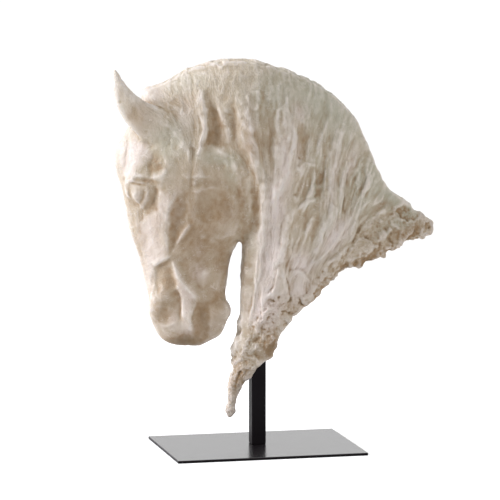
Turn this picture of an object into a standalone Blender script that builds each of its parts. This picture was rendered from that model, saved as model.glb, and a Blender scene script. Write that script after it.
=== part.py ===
"""A cast horse's head with a broken-off neck, on a square steel post and a steel plate.

Metres, +Z up. The origin is the centre of the plate's underside, the plate's long side runs
along X, the horse looks towards -X and the side that is seen faces -Y.

The head is laid out on a drawing of its own, in which one unit is one millimetre at the
real size. A place in it is (along, up, out): along the neck and head from
the post's axis, up from the mouth of the socket, and out from the middle plane. The drawing
is straight; the head's turn to the side is put in at the end.
"""

import math

import bmesh
import bpy
import numpy as np

# The stand, in metres
PLATE_LENGTH = 0.340
PLATE_DEPTH = 0.250
PLATE_THICKNESS = 0.005
PLATE_EDGE = 0.0006
POST_SIDE = 0.0254
POST_EDGE = 0.0012
POST_X = 0.003
POST_Y = 0.010
HEAD_ABOVE_PLATE = 0.0476

# How the pieces meet, in metres
CONTACT_GAP = 0.0003
SOCKET_DEPTH = 0.110
SOCKET_CLEARANCE = 0.0004

# The head: its height in metres, and the ends of its drawing
HEAD_HEIGHT = 0.636
DRAWN_TOP = 543.0
DRAWN_FOOT = -93.0
UNIT = HEAD_HEIGHT / (DRAWN_TOP - DRAWN_FOOT)
HEAD_TURN = math.radians(20.0)
TURN_STARTS = 30.0
TURN_ENDS = -90.0

# Heights that follow from those: the socket's mouth, its end and the post's foot
MOUTH_Z = PLATE_THICKNESS + HEAD_ABOVE_PLATE - DRAWN_FOOT * UNIT
SOCKET_END_Z = MOUTH_Z + SOCKET_DEPTH
POST_FOOT_Z = PLATE_THICKNESS + CONTACT_GAP
POST_LENGTH = SOCKET_END_Z - CONTACT_GAP - POST_FOOT_Z

# Fineness of the modelling, the grain in units of the drawing
CLAY_GRAIN = 4.0
RING_POINTS = 56
ROPE_POINTS = 16
EAR_POINTS = 24
LINE_POINTS = 200
SMOOTHING_PASSES = 3
HEAD_TRIANGLES = 9400

NEAR = 1.0
FAR = -1.0


# Curves and noise

def smooth_curve(points, count):
    """Points evenly spaced on a smooth curve through the given ones."""
    given = np.array(points, float)
    before = 2 * given[0] - given[1]
    after = 2 * given[-1] - given[-2]
    padded = np.vstack([before, given, after])
    fine = []
    for i in range(len(given) - 1):
        for t in np.linspace(0, 1, 12, endpoint=False):
            fine.append(between(*padded[i:i + 4], t))
    fine.append(given[-1])
    return even_points(np.array(fine), count)


def between(p0, p1, p2, p3, t):
    """A point t of the way from p1 to p2 on the smooth curve through all four."""
    return 0.5 * (2 * p1 + (p2 - p0) * t + (2 * p0 - 5 * p1 + 4 * p2 - p3) * t * t
                  + (3 * p1 - p0 - 3 * p2 + p3) * t ** 3)


def even_points(line, count):
    """The same line with its points evenly spaced."""
    steps = np.linalg.norm(np.diff(line, axis=0), axis=1)
    reach = np.concatenate([[0], np.cumsum(steps)])
    wanted = np.linspace(0, reach[-1], count)
    return np.column_stack([np.interp(wanted, reach, line[:, k]) for k in range(line.shape[1])])


def smooth_loop(points, count):
    """Points on a closed smooth curve through the given ones."""
    given = np.array(points, float)
    size = len(given)
    where = np.linspace(0, size, count, endpoint=False)
    index = where.astype(int)
    corners = [given[(index + k) % size] for k in (-1, 0, 1, 2)]
    return between(*corners, (where - index)[:, None])


def lattice_value(i, j, k, seed):
    """A fixed random number from -1 to 1 for each corner of a lattice."""
    mixed = np.sin(i * 127.1 + j * 311.7 + k * 74.7 + seed * 53.3) * 43758.5453
    return 2 * (mixed - np.floor(mixed)) - 1


def noise(x, y, z, seed=0):
    """Smooth noise from -1 to 1 whose bumps are about one unit across."""
    i, j, k = np.floor(x), np.floor(y), np.floor(z)
    fx, fy, fz = x - i, y - j, z - k
    fx, fy, fz = (f * f * (3 - 2 * f) for f in (fx, fy, fz))
    total = 0
    for di in (0, 1):
        for dj in (0, 1):
            for dk in (0, 1):
                weight = ((fx if di else 1 - fx) * (fy if dj else 1 - fy) * (fz if dk else 1 - fz))
                total = total + weight * lattice_value(i + di, j + dj, k + dk, seed)
    return total


def ramp(value, low, high):
    """0 below low, 1 above high and smooth between them."""
    t = np.clip((value - low) / (high - low), 0, 1)
    return t * t * (3 - 2 * t)


# Building up the clay, in units of the drawing

class Clay:
    """Closed shells laid into one another, to be fused into one body."""

    def __init__(self):
        self.mesh = bmesh.new()

    def loft(self, rings):
        """A closed shell through rings of equally many points, an even number."""
        rows = [[self.mesh.verts.new(point) for point in ring] for ring in rings]
        size = len(rows[0])
        for low, high in zip(rows, rows[1:]):
            for i in range(size):
                j = (i + 1) % size
                self.mesh.faces.new((low[i], low[j], high[j], high[i]))
        self.cap(rows[0])
        self.cap(rows[-1])

    def cap(self, ring):
        """Closes a ring with a strip between its two halves, so that a bent end stays bent."""
        size = len(ring)
        self.mesh.faces.new((ring[0], ring[1], ring[size - 1]))
        for i in range(1, size // 2 - 1):
            self.mesh.faces.new((ring[i], ring[i + 1], ring[size - i - 1], ring[size - i]))
        self.mesh.faces.new((ring[size // 2 - 1], ring[size // 2], ring[size // 2 + 1]))

    def lump(self, centre, radii, tilt=0.0):
        """An egg shape, tilted in the plane of the drawing by some degrees."""
        made = bmesh.ops.create_uvsphere(self.mesh, u_segments=24, v_segments=14, radius=1.0)
        turn = math.radians(tilt)
        for vertex in made["verts"]:
            along, up, out = (c * r for c, r in zip(vertex.co, radii))
            vertex.co = (centre[0] + along * math.cos(turn) - up * math.sin(turn),
                         centre[1] + along * math.sin(turn) + up * math.cos(turn),
                         centre[2] + out)

    def both(self, centre, radii, tilt=0.0):
        """The same lump on the near side and on the far side."""
        for side in (NEAR, FAR):
            self.lump((centre[0], centre[1], side * centre[2]), radii, tilt)

    def fused(self):
        """The shells as one evenly meshed surface: its object's mesh."""
        bmesh.ops.recalc_face_normals(self.mesh, faces=self.mesh.faces)
        data = bpy.data.meshes.new("clay")
        self.mesh.to_mesh(data)
        self.mesh.free()
        rough = bpy.data.objects.new("clay", data)
        bpy.context.scene.collection.objects.link(rough)
        fuse = rough.modifiers.new("fuse", "REMESH")
        fuse.mode = "VOXEL"
        fuse.voxel_size = CLAY_GRAIN
        soften = rough.modifiers.new("soften", "SMOOTH")
        soften.factor = 0.5
        soften.iterations = SMOOTHING_PASSES
        graph = bpy.context.evaluated_depsgraph_get()
        result = bpy.data.meshes.new_from_object(rough.evaluated_get(graph))
        bpy.data.objects.remove(rough)
        return result


# The skull: each row is front edge, back edge and half widths at the bridge, at the widest
# place and at the back, and how far back the widest place is
SKULL = (
    ((-176, 478), (-95, 468), 24, 40, 30, 0.50),
    ((-208, 446), (-62, 440), 34, 52, 44, 0.50),
    ((-234, 404), (-48, 402), 38, 60, 48, 0.45),
    ((-247, 376), (-30, 368), 40, 66, 46, 0.38),
    ((-246, 345), (-16, 330), 40, 68, 44, 0.34),
    ((-235, 312), (-10, 292), 37, 65, 42, 0.36),
    ((-228, 275), (-12, 252), 33, 60, 38, 0.40),
    ((-220, 232), (-39, 214), 28, 53, 32, 0.42),
    ((-206, 192), (-50, 182), 24, 45, 25, 0.42),
    ((-198, 152), (-54, 148), 22, 39, 20, 0.40),
    ((-190, 118), (-57, 120), 24, 38, 20, 0.38),
    ((-186, 90), (-51, 94), 28, 39, 22, 0.36),
    ((-180, 66), (-58, 70), 27, 36, 21, 0.38),
    ((-163, 44), (-78, 47), 20, 28, 17, 0.40),
    ((-142, 36), (-100, 35), 9, 14, 9, 0.50),
)


def build_skull(clay):
    fine = smooth_curve([[*front, *back, bridge, widest, rear, place]
                         for front, back, bridge, widest, rear, place in SKULL], 44)
    rings = []
    for fs, fv, bs, bv, bridge, widest, rear, place in fine:
        section = both_sides([(0.0, 0.0), (0.035, bridge), (place, widest), (0.9, rear), (1.0, 0.0)])
        rings.append([(fs + (bs - fs) * u, fv + (bv - fv) * u, w) for u, w in section])
    clay.loft(rings)


# The neck: its outline in four lines, and its half widths
CREST = ((-201, 488), (-188, 493), (-170, 499), (-153, 508), (-136, 519), (-120, 527), (-104, 532),
         (-78, 539), (-47, 543), (-12, 542), (15, 534), (42, 526), (69, 516), (96, 504), (122, 489),
         (149, 465), (173, 440), (194, 398), (214, 351), (228, 323), (244, 304), (262, 291),
         (276, 281), (285, 268), (302, 258), (322, 245))
THROAT = ((-70, 340), (-36, 290), (-27, 220), (-29, 150), (-31, 100), (-38, 52), (-46, 26), (-42, 6))
NECK_START = ((-200, 486), (-140, 430), (-100, 380), (-70, 340))
BREAK = ((322, 245), (323, 233), (306, 223), (290, 220), (270, 217), (240, 204), (222, 193), (191, 180),
         (162, 172), (142, 168), (129, 164), (119, 152), (111, 142), (103, 132), (95, 120), (82, 110),
         (65, 100), (54, 88), (44, 76), (33, 61), (27, 44), (21, 24), (16, 9), (5, 3), (-12, 0), (-42, 6))
ACROSS = (0.0, 0.012, 0.035, 0.16, 0.42, 0.72, 0.96, 1.0)
NECK_HALF_WIDTHS = (
    (0.0, 14, 22, 34, 44, 44, 26, 0.0),
    (0.0, 15, 24, 38, 52, 54, 34, 0.0),
    (0.0, 14, 22, 38, 57, 58, 36, 0.0),
    (0.0, 12, 18, 35, 56, 56, 34, 0.0),
    (0.0, 10, 14, 32, 49, 43, 26, 0.0),
)


def neck_section(t):
    """Half widths across the neck, t of the way from the poll to the break."""
    table = np.array(NECK_HALF_WIDTHS)
    row = t * (len(table) - 1)
    low = min(int(row), len(table) - 2)
    return table[low] + (table[low + 1] - table[low]) * (row - low)


def both_sides(half):
    """A closed section from its near half, which starts and ends on the middle plane."""
    return smooth_loop(half + [(u, -w) for u, w in half[-2:0:-1]], round(RING_POINTS))


def build_neck(clay):
    """A surface stretched between the four lines, as thick as the half widths say."""
    rows = 48
    crest = smooth_curve(CREST, rows)
    throat = smooth_curve(THROAT, rows)
    start = smooth_curve(NECK_START, LINE_POINTS)
    end = smooth_curve(BREAK, LINE_POINTS)
    shares = np.linspace(0, 1, LINE_POINTS)
    rings = []
    for i in range(rows):
        t = i / (rows - 1)
        section = both_sides(list(zip(ACROSS, neck_section(t))))
        u = np.clip(section[:, 0], 0, 1)
        place = np.empty((len(u), 2))
        for k in (0, 1):
            from_start = np.interp(u, shares, start[:, k])
            from_end = np.interp(u, shares, end[:, k])
            corners = ((1 - t) * ((1 - u) * start[0, k] + u * start[-1, k])
                       + t * ((1 - u) * end[0, k] + u * end[-1, k]))
            place[:, k] = ((1 - u) * crest[i, k] + u * throat[i, k]
                           + (1 - t) * from_start + t * from_end - corners)
        rings.append([(s, v, w) for (s, v), w in zip(place, section[:, 1])])
    clay.loft(rings)


def round_rope(clay, path):
    """A tapering rope of clay through (along, up, out, radius)."""
    line = smooth_curve(path, 5 * len(path))
    rings = []
    for i, (s, v, w, radius) in enumerate(line):
        ahead = line[min(i + 1, len(line) - 1), :2] - line[max(i - 1, 0), :2]
        ahead = ahead / np.linalg.norm(ahead)
        ring = []
        for k in range(ROPE_POINTS):
            angle = 2 * math.pi * k / ROPE_POINTS
            across = radius * math.cos(angle)
            ring.append((s - across * ahead[1], v + across * ahead[0], w + radius * math.sin(angle)))
        rings.append(ring)
    clay.loft(rings)


# The thin shard that hangs from the break beside the post, with its knobbly end
SHARD = ((-4, 30, 4, 27), (-20, 4, 6, 21), (-27, -10, 7, 16), (-35, -22, 7, 13), (-41, -36, 6, 12.5),
         (-44, -54, 5, 9.5), (-46, -68, 4, 8), (-48, -80, 3, 9.5), (-49, -89, 3, 6.5), (-49, -93, 3, 3))

# The ears: each point is (along, up, out, half breadth, half thickness)
NEAR_EAR = ((-122, 378, 24, 40, 20), (-143, 400, 34, 41, 22), (-164, 418, 43, 38, 21),
            (-187, 433, 50, 34, 19), (-209, 451, 55, 29, 16), (-227, 475, 58, 21.5, 12),
            (-237, 500, 57, 12.5, 8.5), (-242, 519, 56, 6.5, 5), (-244, 529, 55, 2.5, 2.5))
FAR_EAR = ((-140, 380, -40, 34, 20), (-142, 412, -52, 32, 20), (-138, 438, -63, 29, 17),
           (-132, 462, -73, 24, 13), (-124, 484, -82, 15, 9), (-116, 502, -89, 7, 5),
           (-112, 510, -92, 2, 2))
EAR_HOLLOW = 0.62
EAR_OPENING = math.radians(25)
EAR_OPENING_WIDTH = math.radians(43)


def build_ear(clay, path, side):
    """A horn-shaped ear, hollow towards the front and the middle."""
    line = smooth_curve(path, 5 * len(path))
    count = len(line)
    rings = []
    for i, (s, v, w, breadth, thickness) in enumerate(line):
        ahead = line[min(i + 1, count - 1), :2] - line[max(i - 1, 0), :2]
        ahead = ahead / np.linalg.norm(ahead)
        front = np.array([-ahead[1], ahead[0]])
        open_here = EAR_HOLLOW * ramp(i / count, 0.3, 0.5) * (1 - ramp(i / count, 0.85, 1.0))
        ring = []
        for k in range(EAR_POINTS):
            angle = 2 * math.pi * k / EAR_POINTS
            from_opening = math.remainder(angle + side * EAR_OPENING, 2 * math.pi)
            hollow = 1 - open_here * math.exp(-(from_opening / EAR_OPENING_WIDTH) ** 2)
            across = breadth * math.cos(angle) * hollow
            ring.append((s + across * front[0], v + across * front[1],
                         w + thickness * math.sin(angle) * hollow))
        rings.append(ring)
    clay.loft(rings)


def build_clay():
    """Every mass of the head and neck, fused."""
    clay = Clay()
    build_skull(clay)
    build_neck(clay)
    round_rope(clay, SHARD)
    build_ear(clay, NEAR_EAR, NEAR)
    build_ear(clay, FAR_EAR, FAR)
    clay.both((-78, 300, 26), (66, 84, 29), tilt=4)
    clay.both((-112, 372, 30), (58, 44, 26), tilt=-20)
    clay.both((-195, 322, 39), (35, 40, 27), tilt=8)
    clay.both((-54, 226, 12), (19, 24, 18))
    clay.both((-162, 116, 22), (27, 46, 22), tilt=-6)
    clay.both((-124, 78, 14), (30, 36, 20), tilt=6)
    clay.lump((-80, 76, 0), (17, 30, 25), tilt=4)
    clay.lump((-66, 96, 0), (19, 21, 25))
    clay.lump((-228, 368, 0), (19, 40, 27), tilt=-4)
    clay.lump((-180, 468, 0), (25, 24, 30))
    clay.lump((-190, 482, 0), (14, 11, 24))
    around_socket = (POST_SIDE / 2 + SOCKET_CLEARANCE) / UNIT
    clay.lump((2, 50, 2), (around_socket + 11, 46, around_socket + 21))
    return clay.fused()


# Carving

class Carving:
    """The fused surface as arrays, for strokes that raise or sink it."""

    def __init__(self, mesh):
        self.mesh = mesh
        self.points = np.empty(len(mesh.vertices) * 3, np.float64)
        mesh.vertices.foreach_get("co", self.points)
        self.points = self.points.reshape(-1, 3)
        self.read_normals()

    def read_normals(self):
        self.mesh.vertices.foreach_set("co", self.points.ravel())
        self.mesh.update()
        normals = np.empty(len(self.mesh.vertices) * 3, np.float64)
        self.mesh.vertices.foreach_get("normal", normals)
        self.normals = normals.reshape(-1, 3)

    def facing(self, side, low=-0.1, high=0.35):
        """How far each point faces outwards on one side, from 0 to 1."""
        return ramp(self.normals[:, 2] * side, low, high)

    def push(self, amount):
        self.points += self.normals * np.asarray(amount)[:, None]

    def nearest(self, path):
        """Distance to a line in the plane of the drawing and how far along it that is."""
        line = np.array(path, float)
        here = self.points[:, :2]
        steps = np.linalg.norm(np.diff(line, axis=0), axis=1)
        reach = np.concatenate([[0], np.cumsum(steps)])
        best = np.full(len(here), np.inf)
        share = np.zeros(len(here))
        for a, b, step, start in zip(line, line[1:], steps, reach):
            t = np.clip(((here - a) @ (b - a)) / step ** 2, 0, 1)
            away = np.linalg.norm(here - a - t[:, None] * (b - a), axis=1)
            closer = away < best
            best[closer] = away[closer]
            share[closer] = ((start + t * step) / reach[-1])[closer]
        return best, share

    def stroke(self, path, half_width, height, sides=(NEAR, FAR), taper=0.25):
        """Raises, or with a negative height sinks, the surface along a line."""
        line = smooth_curve(path, 4 * len(path))
        away, share = self.nearest(line)
        ends = 1.0
        if taper:
            ends = ramp(share, -0.02, taper) * (1 - ramp(share, 1 - taper, 1.02))
        shape = np.exp(-(away / half_width) ** 2) * ends
        for side in sides:
            self.push(shape * height * self.facing(side))

    def dab(self, centre, radii, height, tilt=0.0, sides=(NEAR, FAR)):
        """Raises or sinks one oval patch."""
        turn = math.radians(tilt)
        along = self.points[:, 0] - centre[0]
        up = self.points[:, 1] - centre[1]
        a = (along * math.cos(turn) + up * math.sin(turn)) / radii[0]
        b = (up * math.cos(turn) - along * math.sin(turn)) / radii[1]
        shape = np.exp(-(a * a + b * b))
        for side in sides:
            self.push(shape * height * self.facing(side))


# The forms of the face, the same on both sides: path, half width and height
SKULL_STROKES = (
    (((-219, 404), (-222, 370), (-226, 344)), 7, -3),
    (((-159, 376), (-152, 362), (-153, 350), (-163, 341), (-178, 338)), 7, 3),
    (((-228, 338), (-212, 342), (-196, 342), (-180, 341)), 8, 3),
    (((-214, 331), (-195, 333), (-177, 333), (-158, 334)), 6, -3.5),
    (((-136, 322), (-139, 303), (-147, 287), (-151, 261), (-153, 240), (-151, 212), (-148, 196)), 7, 4),
    (((-122, 312), (-130, 290), (-138, 262), (-140, 232), (-137, 208)), 12, -5.5),
    (((-206, 262), (-200, 232), (-190, 200)), 12, -2),
    (((-106, 260), (-121, 245), (-131, 229), (-138, 216)), 5, 3),
    (((-104, 249), (-116, 236), (-129, 218)), 5, -3),
    (((-122, 342), (-104, 346), (-86, 340)), 8, 2.5),
    (((-98, 376), (-76, 388), (-55, 384), (-38, 368), (-24, 340), (-16, 300), (-18, 258)), 9, 3),
    (((-70, 356), (-54, 346), (-44, 322), (-42, 290), (-50, 252)), 8, 2),
    (((-112, 190), (-92, 186), (-66, 196), (-50, 208)), 8, -2),
    (((-172, 448), (-158, 438), (-144, 429), (-132, 414), (-117, 388), (-109, 352)), 7, 2.5),
    (((-196, 402), (-181, 398), (-177, 384)), 6, -3),
)
EYE_STROKES = (
    (((-217, 326), (-217, 313), (-215, 303), (-210, 292), (-204, 282)), 5, -3),
    (((-226, 326), (-216, 335), (-206, 333), (-193, 330), (-182, 325)), 5, 3),
    (((-183, 325), (-185, 311), (-189, 301), (-195, 291), (-200, 280)), 4.5, 4),
    (((-175, 328), (-170, 317), (-173, 304), (-180, 288)), 6, -4),
    (((-196, 282), (-197, 270), (-196, 258)), 5, -3),
)
MUZZLE_STROKES = (
    (((-148, 200), (-165, 193), (-180, 184)), 6, 2.5),
    (((-151, 190), (-164, 183), (-171, 174), (-171, 150), (-177, 128)), 6, -2.5),
    (((-156, 180), (-149, 158), (-146, 136)), 11, -3.5),
    (((-144, 192), (-135, 163), (-123, 145), (-112, 132), (-104, 116)), 6, 3.5),
    (((-131, 192), (-120, 164), (-106, 144), (-96, 128)), 6, -3),
    (((-139, 142), (-134, 121), (-132, 102), (-132, 86)), 5, -5),
    (((-183, 112), (-184, 94), (-174, 78), (-160, 71), (-146, 74), (-134, 82)), 6, 3),
    (((-104, 116), (-112, 100), (-114, 84), (-114, 60)), 5, 2.5),
    (((-100, 110), (-96, 90), (-91, 68), (-87, 46)), 5, -3),
    (((-101, 174), (-104, 154), (-94, 138), (-82, 146)), 5, -2.5),
)


def carve_face(carving):
    """The skull's planes first, then the eye, then the muzzle."""
    for path, half_width, height in SKULL_STROKES:
        carving.stroke(path, half_width, height)
    carving.dab((-176, 365), (17, 19), -5, tilt=10)
    carving.dab((-77, 288), (20, 34), -4, tilt=-8)
    carving.dab((-200, 307), (17, 25), -5)
    carving.read_normals()
    carving.dab((-203, 309), (10, 17), 6)
    for path, half_width, height in EYE_STROKES:
        carving.stroke(path, half_width, height, taper=0.15)
    for path, half_width, height in MUZZLE_STROKES:
        carving.stroke(path, half_width, height, taper=0.15)
    carving.dab((-156, 100), (15, 19), -5.5, tilt=-8)
    carving.dab((-96, 84), (15, 32), -5, tilt=6)
    carving.dab((-61, 100), (15, 15), 4)
    carving.dab((-89, 167), (9, 12), 3.5)


# The mane's locks, from the crest down, in order from the poll to the tip of the neck
LOCK_GUIDES = (
    ((-140, 500), (-150, 460), (-140, 420), (-132, 380), (-130, 340)),
    ((-92, 522), (-94, 484), (-98, 466), (-94, 445), (-86, 426), (-91, 395), (-100, 366), (-103, 340)),
    ((-78, 530), (-72, 472), (-63, 454), (-56, 431), (-56, 414), (-58, 392), (-50, 360), (-34, 320)),
    ((-8, 536), (-10, 499), (-21, 475), (-16, 426), (-10, 390), (-6, 350), (4, 310), (4, 260), (-2, 160)),
    ((40, 520), (42, 460), (34, 430), (28, 402), (18, 370), (14, 320), (16, 260), (4, 140)),
    ((72, 500), (66, 442), (57, 404), (46, 370), (34, 330), (24, 280), (28, 220), (16, 110)),
    ((122, 470), (108, 420), (96, 383), (86, 340), (66, 290), (50, 240), (40, 180), (30, 90)),
    ((152, 430), (138, 400), (124, 362), (118, 300), (106, 256), (92, 220), (70, 170), (40, 80)),
    ((176, 386), (166, 350), (150, 315), (140, 280), (126, 240), (100, 200), (76, 150)),
    ((206, 330), (196, 300), (180, 268), (160, 230), (130, 190), (104, 130)),
    ((300, 250), (270, 232), (230, 212), (180, 180), (140, 140)),
)

GUIDE_POINTS = 24
GUIDE_LINES = [smooth_curve(guide, GUIDE_POINTS) for guide in LOCK_GUIDES]
FAR_LOCKS = 74
NEAR_LOCKS = 30


def lock_line(number, start, end):
    """A line among the guides: number says which two it lies between, the rest how far down it runs."""
    low = min(int(number), len(GUIDE_LINES) - 2)
    share = number - low
    whole = GUIDE_LINES[low] * (1 - share) + GUIDE_LINES[low + 1] * share
    first = int(start * (GUIDE_POINTS - 1))
    last = max(int(end * (GUIDE_POINTS - 1)), first + 3)
    return whole[first:last + 1]


def random_locks(count, seed, height):
    """Ridges and hollows among the guides, each as a path, a half width and a height."""
    draw = np.random.default_rng(seed)
    made = []
    for i in range(count):
        number = 1.0 + (len(GUIDE_LINES) - 2.2) * (i + draw.uniform(0, 1)) / count
        start = draw.uniform(0.0, 0.62)
        length = draw.uniform(0.22, 0.45)
        half_width = draw.uniform(5.0, 10.0)
        rise = height * draw.uniform(0.6, 1.2) * (1 if i % 2 else -1.1)
        made.append((lock_line(number, start, min(start + length, 1.0)), half_width, rise))
    return made


BEHIND_CHEEK = ((-12, 336), (-8, 290), (-11, 250), (-20, 222))

# Ridges and hollows of the near side's mane: path, half width and height
MANE_STROKES = (
    (((-80, 505), (-94, 484), (-98, 464), (-94, 445), (-86, 426), (-91, 395), (-100, 366),
      (-103, 344)), 6, 5),
    (((-104, 454), (-102, 430), (-100, 408)), 6, -3),
    (((-77, 478), (-73, 449), (-72, 423), (-77, 392)), 9, -7),
    (((-72, 474), (-63, 454), (-56, 431), (-56, 414), (-61, 396)), 5, 4),
    (((-48, 462), (-44, 440), (-47, 418)), 8, -6),
    (((-8, 527), (-10, 499), (-21, 482), (-21, 462), (-16, 426), (-11, 396), (-7, 356),
      (3, 330), (8, 296)), 7, 5),
    (((-37, 428), (-28, 407), (-19, 388), (-11, 361)), 6, 3),
    (((8, 486), (14, 440), (8, 390), (6, 345)), 10, -4),
    (((50, 458), (36, 434), (29, 402), (18, 378), (14, 343)), 7, 3.5),
    (((64, 444), (57, 423), (54, 404), (46, 378), (36, 343), (24, 318), (18, 285)), 11, 5.5),
    (((70, 436), (71, 403), (68, 368)), 9, -6.5),
    (((84, 352), (68, 333), (56, 302)), 12, -7),
    (((78, 287), (66, 270), (50, 246), (46, 226)), 9, -4),
    (((108, 424), (100, 397), (94, 374)), 6, 3),
    (((146, 447), (138, 419), (130, 382), (121, 355), (119, 320), (116, 275), (104, 252),
      (94, 220)), 12, 5.5),
    (((110, 388), (103, 341), (99, 300), (84, 262), (68, 232)), 11, -5.5),
    (((156, 356), (146, 331), (140, 300), (131, 262), (124, 240)), 8, 5),
    (((172, 394), (174, 352), (166, 308), (158, 276), (144, 244)), 13, -6.5),
    (((196, 358), (192, 330), (196, 306)), 9, 3.5),
    (((56, 288), (42, 267), (36, 246), (31, 218), (25, 182)), 8, 5),
    (((34, 272), (29, 239), (24, 212), (19, 180)), 5, -3.5),
    (((56, 232), (47, 207), (40, 186), (34, 164)), 8, -5.5),
    (((119, 268), (108, 244), (99, 222), (84, 194)), 6, 3.5),
    (((146, 244), (123, 219), (97, 191), (65, 174)), 10, 3),
    (((212, 276), (197, 262), (179, 255), (170, 240), (146, 214), (124, 196)), 6, -3.5),
    (BEHIND_CHEEK, 9, -6.5),
    (((2, 336), (8, 300), (8, 266), (2, 236)), 8, 3),
)


def carve_mane(carving):
    """The near side's own locks, and others in keeping on the far side."""
    for path, half_width, height in random_locks(NEAR_LOCKS, seed=5, height=3.0):
        carving.stroke(path, half_width, height, sides=(NEAR,))
    for path, half_width, height in MANE_STROKES:
        carving.stroke(path, half_width, height, sides=(NEAR,))
    for path, half_width, height in random_locks(FAR_LOCKS, seed=8, height=5.0):
        carving.stroke(path, half_width, height, sides=(FAR,))
    carving.stroke(BEHIND_CHEEK, 9, -6.5, sides=(FAR,))
    carving.read_normals()


# The crumbled edge: where its band fades out, and its lumps
CRUMBLED_BAND = (14, 46)
CRUMBLED_HEIGHT = (258, 300)
LARGE_LUMP = 16
SMALL_LUMP = 8.5
LUMP_HEIGHT = 5.0


def away_from_break(points):
    """Distance in the plane of the drawing from the broken lower edge."""
    line = smooth_curve(BREAK + THROAT[-2:-4:-1], 120)
    best = np.full(len(points), np.inf)
    for a, b in zip(line, line[1:]):
        t = np.clip(((points[:, :2] - a) @ (b - a)) / ((b - a) @ (b - a)), 0, 1)
        best = np.minimum(best, np.linalg.norm(points[:, :2] - a - t[:, None] * (b - a), axis=1))
    return best


def carve_break(carving):
    """The crumbled edge where the neck ends: large and small lumps in a band beside it."""
    away = away_from_break(carving.points)
    along, up, out = carving.points.T
    rough = (1 - ramp(away, *CRUMBLED_BAND)) * (1 - ramp(up, *CRUMBLED_HEIGHT))
    large = noise(along / LARGE_LUMP, up / LARGE_LUMP, out / LARGE_LUMP, seed=21)
    small = noise(along / SMALL_LUMP, up / SMALL_LUMP, out / SMALL_LUMP, seed=22)
    carving.push(LUMP_HEIGHT * (large + 0.6 * small) * rough)
    carving.read_normals()


# Placing the head on its post

def turned(points):
    """The drawing's places in metres, with the head turned away to the far side."""
    along, up, out = points.T
    length = TURN_STARTS - TURN_ENDS
    radius = length / HEAD_TURN
    into = np.clip(TURN_STARTS - along, 0, length)
    beyond = np.maximum(TURN_ENDS - along, 0)
    angle = into / radius
    middle_x = np.where(along > TURN_STARTS, along, TURN_STARTS) - radius * np.sin(angle)
    middle_x = middle_x - beyond * np.cos(angle)
    middle_y = radius * (1 - np.cos(angle)) + beyond * np.sin(angle)
    x = middle_x - out * np.sin(angle)
    y = middle_y - out * np.cos(angle)
    return np.column_stack([POST_X + x * UNIT, POST_Y + y * UNIT, MOUTH_Z + up * UNIT])


def new_object(name, mesh):
    made = bpy.data.objects.new(name, mesh)
    bpy.context.scene.collection.objects.link(made)
    return made


def box(name, low, high):
    """A box between two corners, its object at the middle of its underside."""
    mesh = bpy.data.meshes.new(name)
    shape = bmesh.new()
    bmesh.ops.create_cube(shape, size=1.0)
    size = [h - l for l, h in zip(low, high)]
    for vertex in shape.verts:
        vertex.co = (vertex.co.x * size[0], vertex.co.y * size[1], (vertex.co.z + 0.5) * size[2])
    shape.to_mesh(mesh)
    shape.free()
    made = new_object(name, mesh)
    made.location = ((low[0] + high[0]) / 2, (low[1] + high[1]) / 2, low[2])
    return made


def round_edges(made, width, segments):
    bevel = made.modifiers.new("edges", "BEVEL")
    bevel.width = width
    bevel.segments = segments
    bevel.limit_method = "ANGLE"


def material(name, colour, roughness, metallic):
    made = bpy.data.materials.new(name)
    made.use_nodes = True
    shader = made.node_tree.nodes["Principled BSDF"]
    shader.inputs["Base Color"].default_value = (*colour, 1.0)
    shader.inputs["Roughness"].default_value = roughness
    shader.inputs["Metallic"].default_value = metallic
    return made


def socket_cutter():
    """The square hole for the post, cut right down to the plate through any clay in its way."""
    half = POST_SIDE / 2 + SOCKET_CLEARANCE
    low = (POST_X - half, POST_Y - half, PLATE_THICKNESS)
    cutter = box("socket cutter", low, (POST_X + half, POST_Y + half, SOCKET_END_Z))
    cutter.hide_render = True
    cutter.display_type = "WIRE"
    return cutter


def make_horse_head():
    mesh = build_clay()
    carving = Carving(mesh)
    carve_face(carving)
    carving.read_normals()
    carve_mane(carving)
    carve_break(carving)
    carving.points = turned(carving.points)
    carving.read_normals()
    mesh.flip_normals()
    head = new_object("horse_head", mesh)
    thin = head.modifiers.new("thin out", "DECIMATE")
    mesh.calc_loop_triangles()
    thin.ratio = HEAD_TRIANGLES / len(mesh.loop_triangles)
    thin.use_collapse_triangulate = True
    cut = head.modifiers.new("socket", "BOOLEAN")
    cut.operation = "DIFFERENCE"
    cut.object = socket_cutter()
    mesh.shade_smooth()
    mesh.materials.append(material("ivory resin", (0.62, 0.58, 0.46), 0.45, 0.0))
    return head


def make_base_plate():
    half_x, half_y = PLATE_LENGTH / 2, PLATE_DEPTH / 2
    plate = box("base_plate", (-half_x, -half_y, 0.0), (half_x, half_y, PLATE_THICKNESS))
    round_edges(plate, PLATE_EDGE, 1)
    plate.data.materials.append(material("black steel plate", (0.02, 0.02, 0.022), 0.3, 0.6))
    return plate


def make_post():
    half = POST_SIDE / 2
    low = (POST_X - half, POST_Y - half, POST_FOOT_Z)
    post = box("post", low, (POST_X + half, POST_Y + half, POST_FOOT_Z + POST_LENGTH))
    round_edges(post, POST_EDGE, 2)
    post.data.materials.append(material("black steel post", (0.02, 0.02, 0.022), 0.35, 0.6))
    return post


def main():
    for old in list(bpy.data.objects):
        bpy.data.objects.remove(old)
    make_base_plate()
    make_post()
    make_horse_head()


if __name__ == "__main__":
    main()
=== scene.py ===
"""The finish of a cast resin horse's head on its black steel stand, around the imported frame.

The head is carved over a copy of its solid. Places on it are given on a straight drawing in
millimetres, as (along, up) or (along, up, out): along the neck from the post's axis, up from the
mouth of the socket, and out from the middle plane towards the side that is seen.
"""

import math

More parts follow.
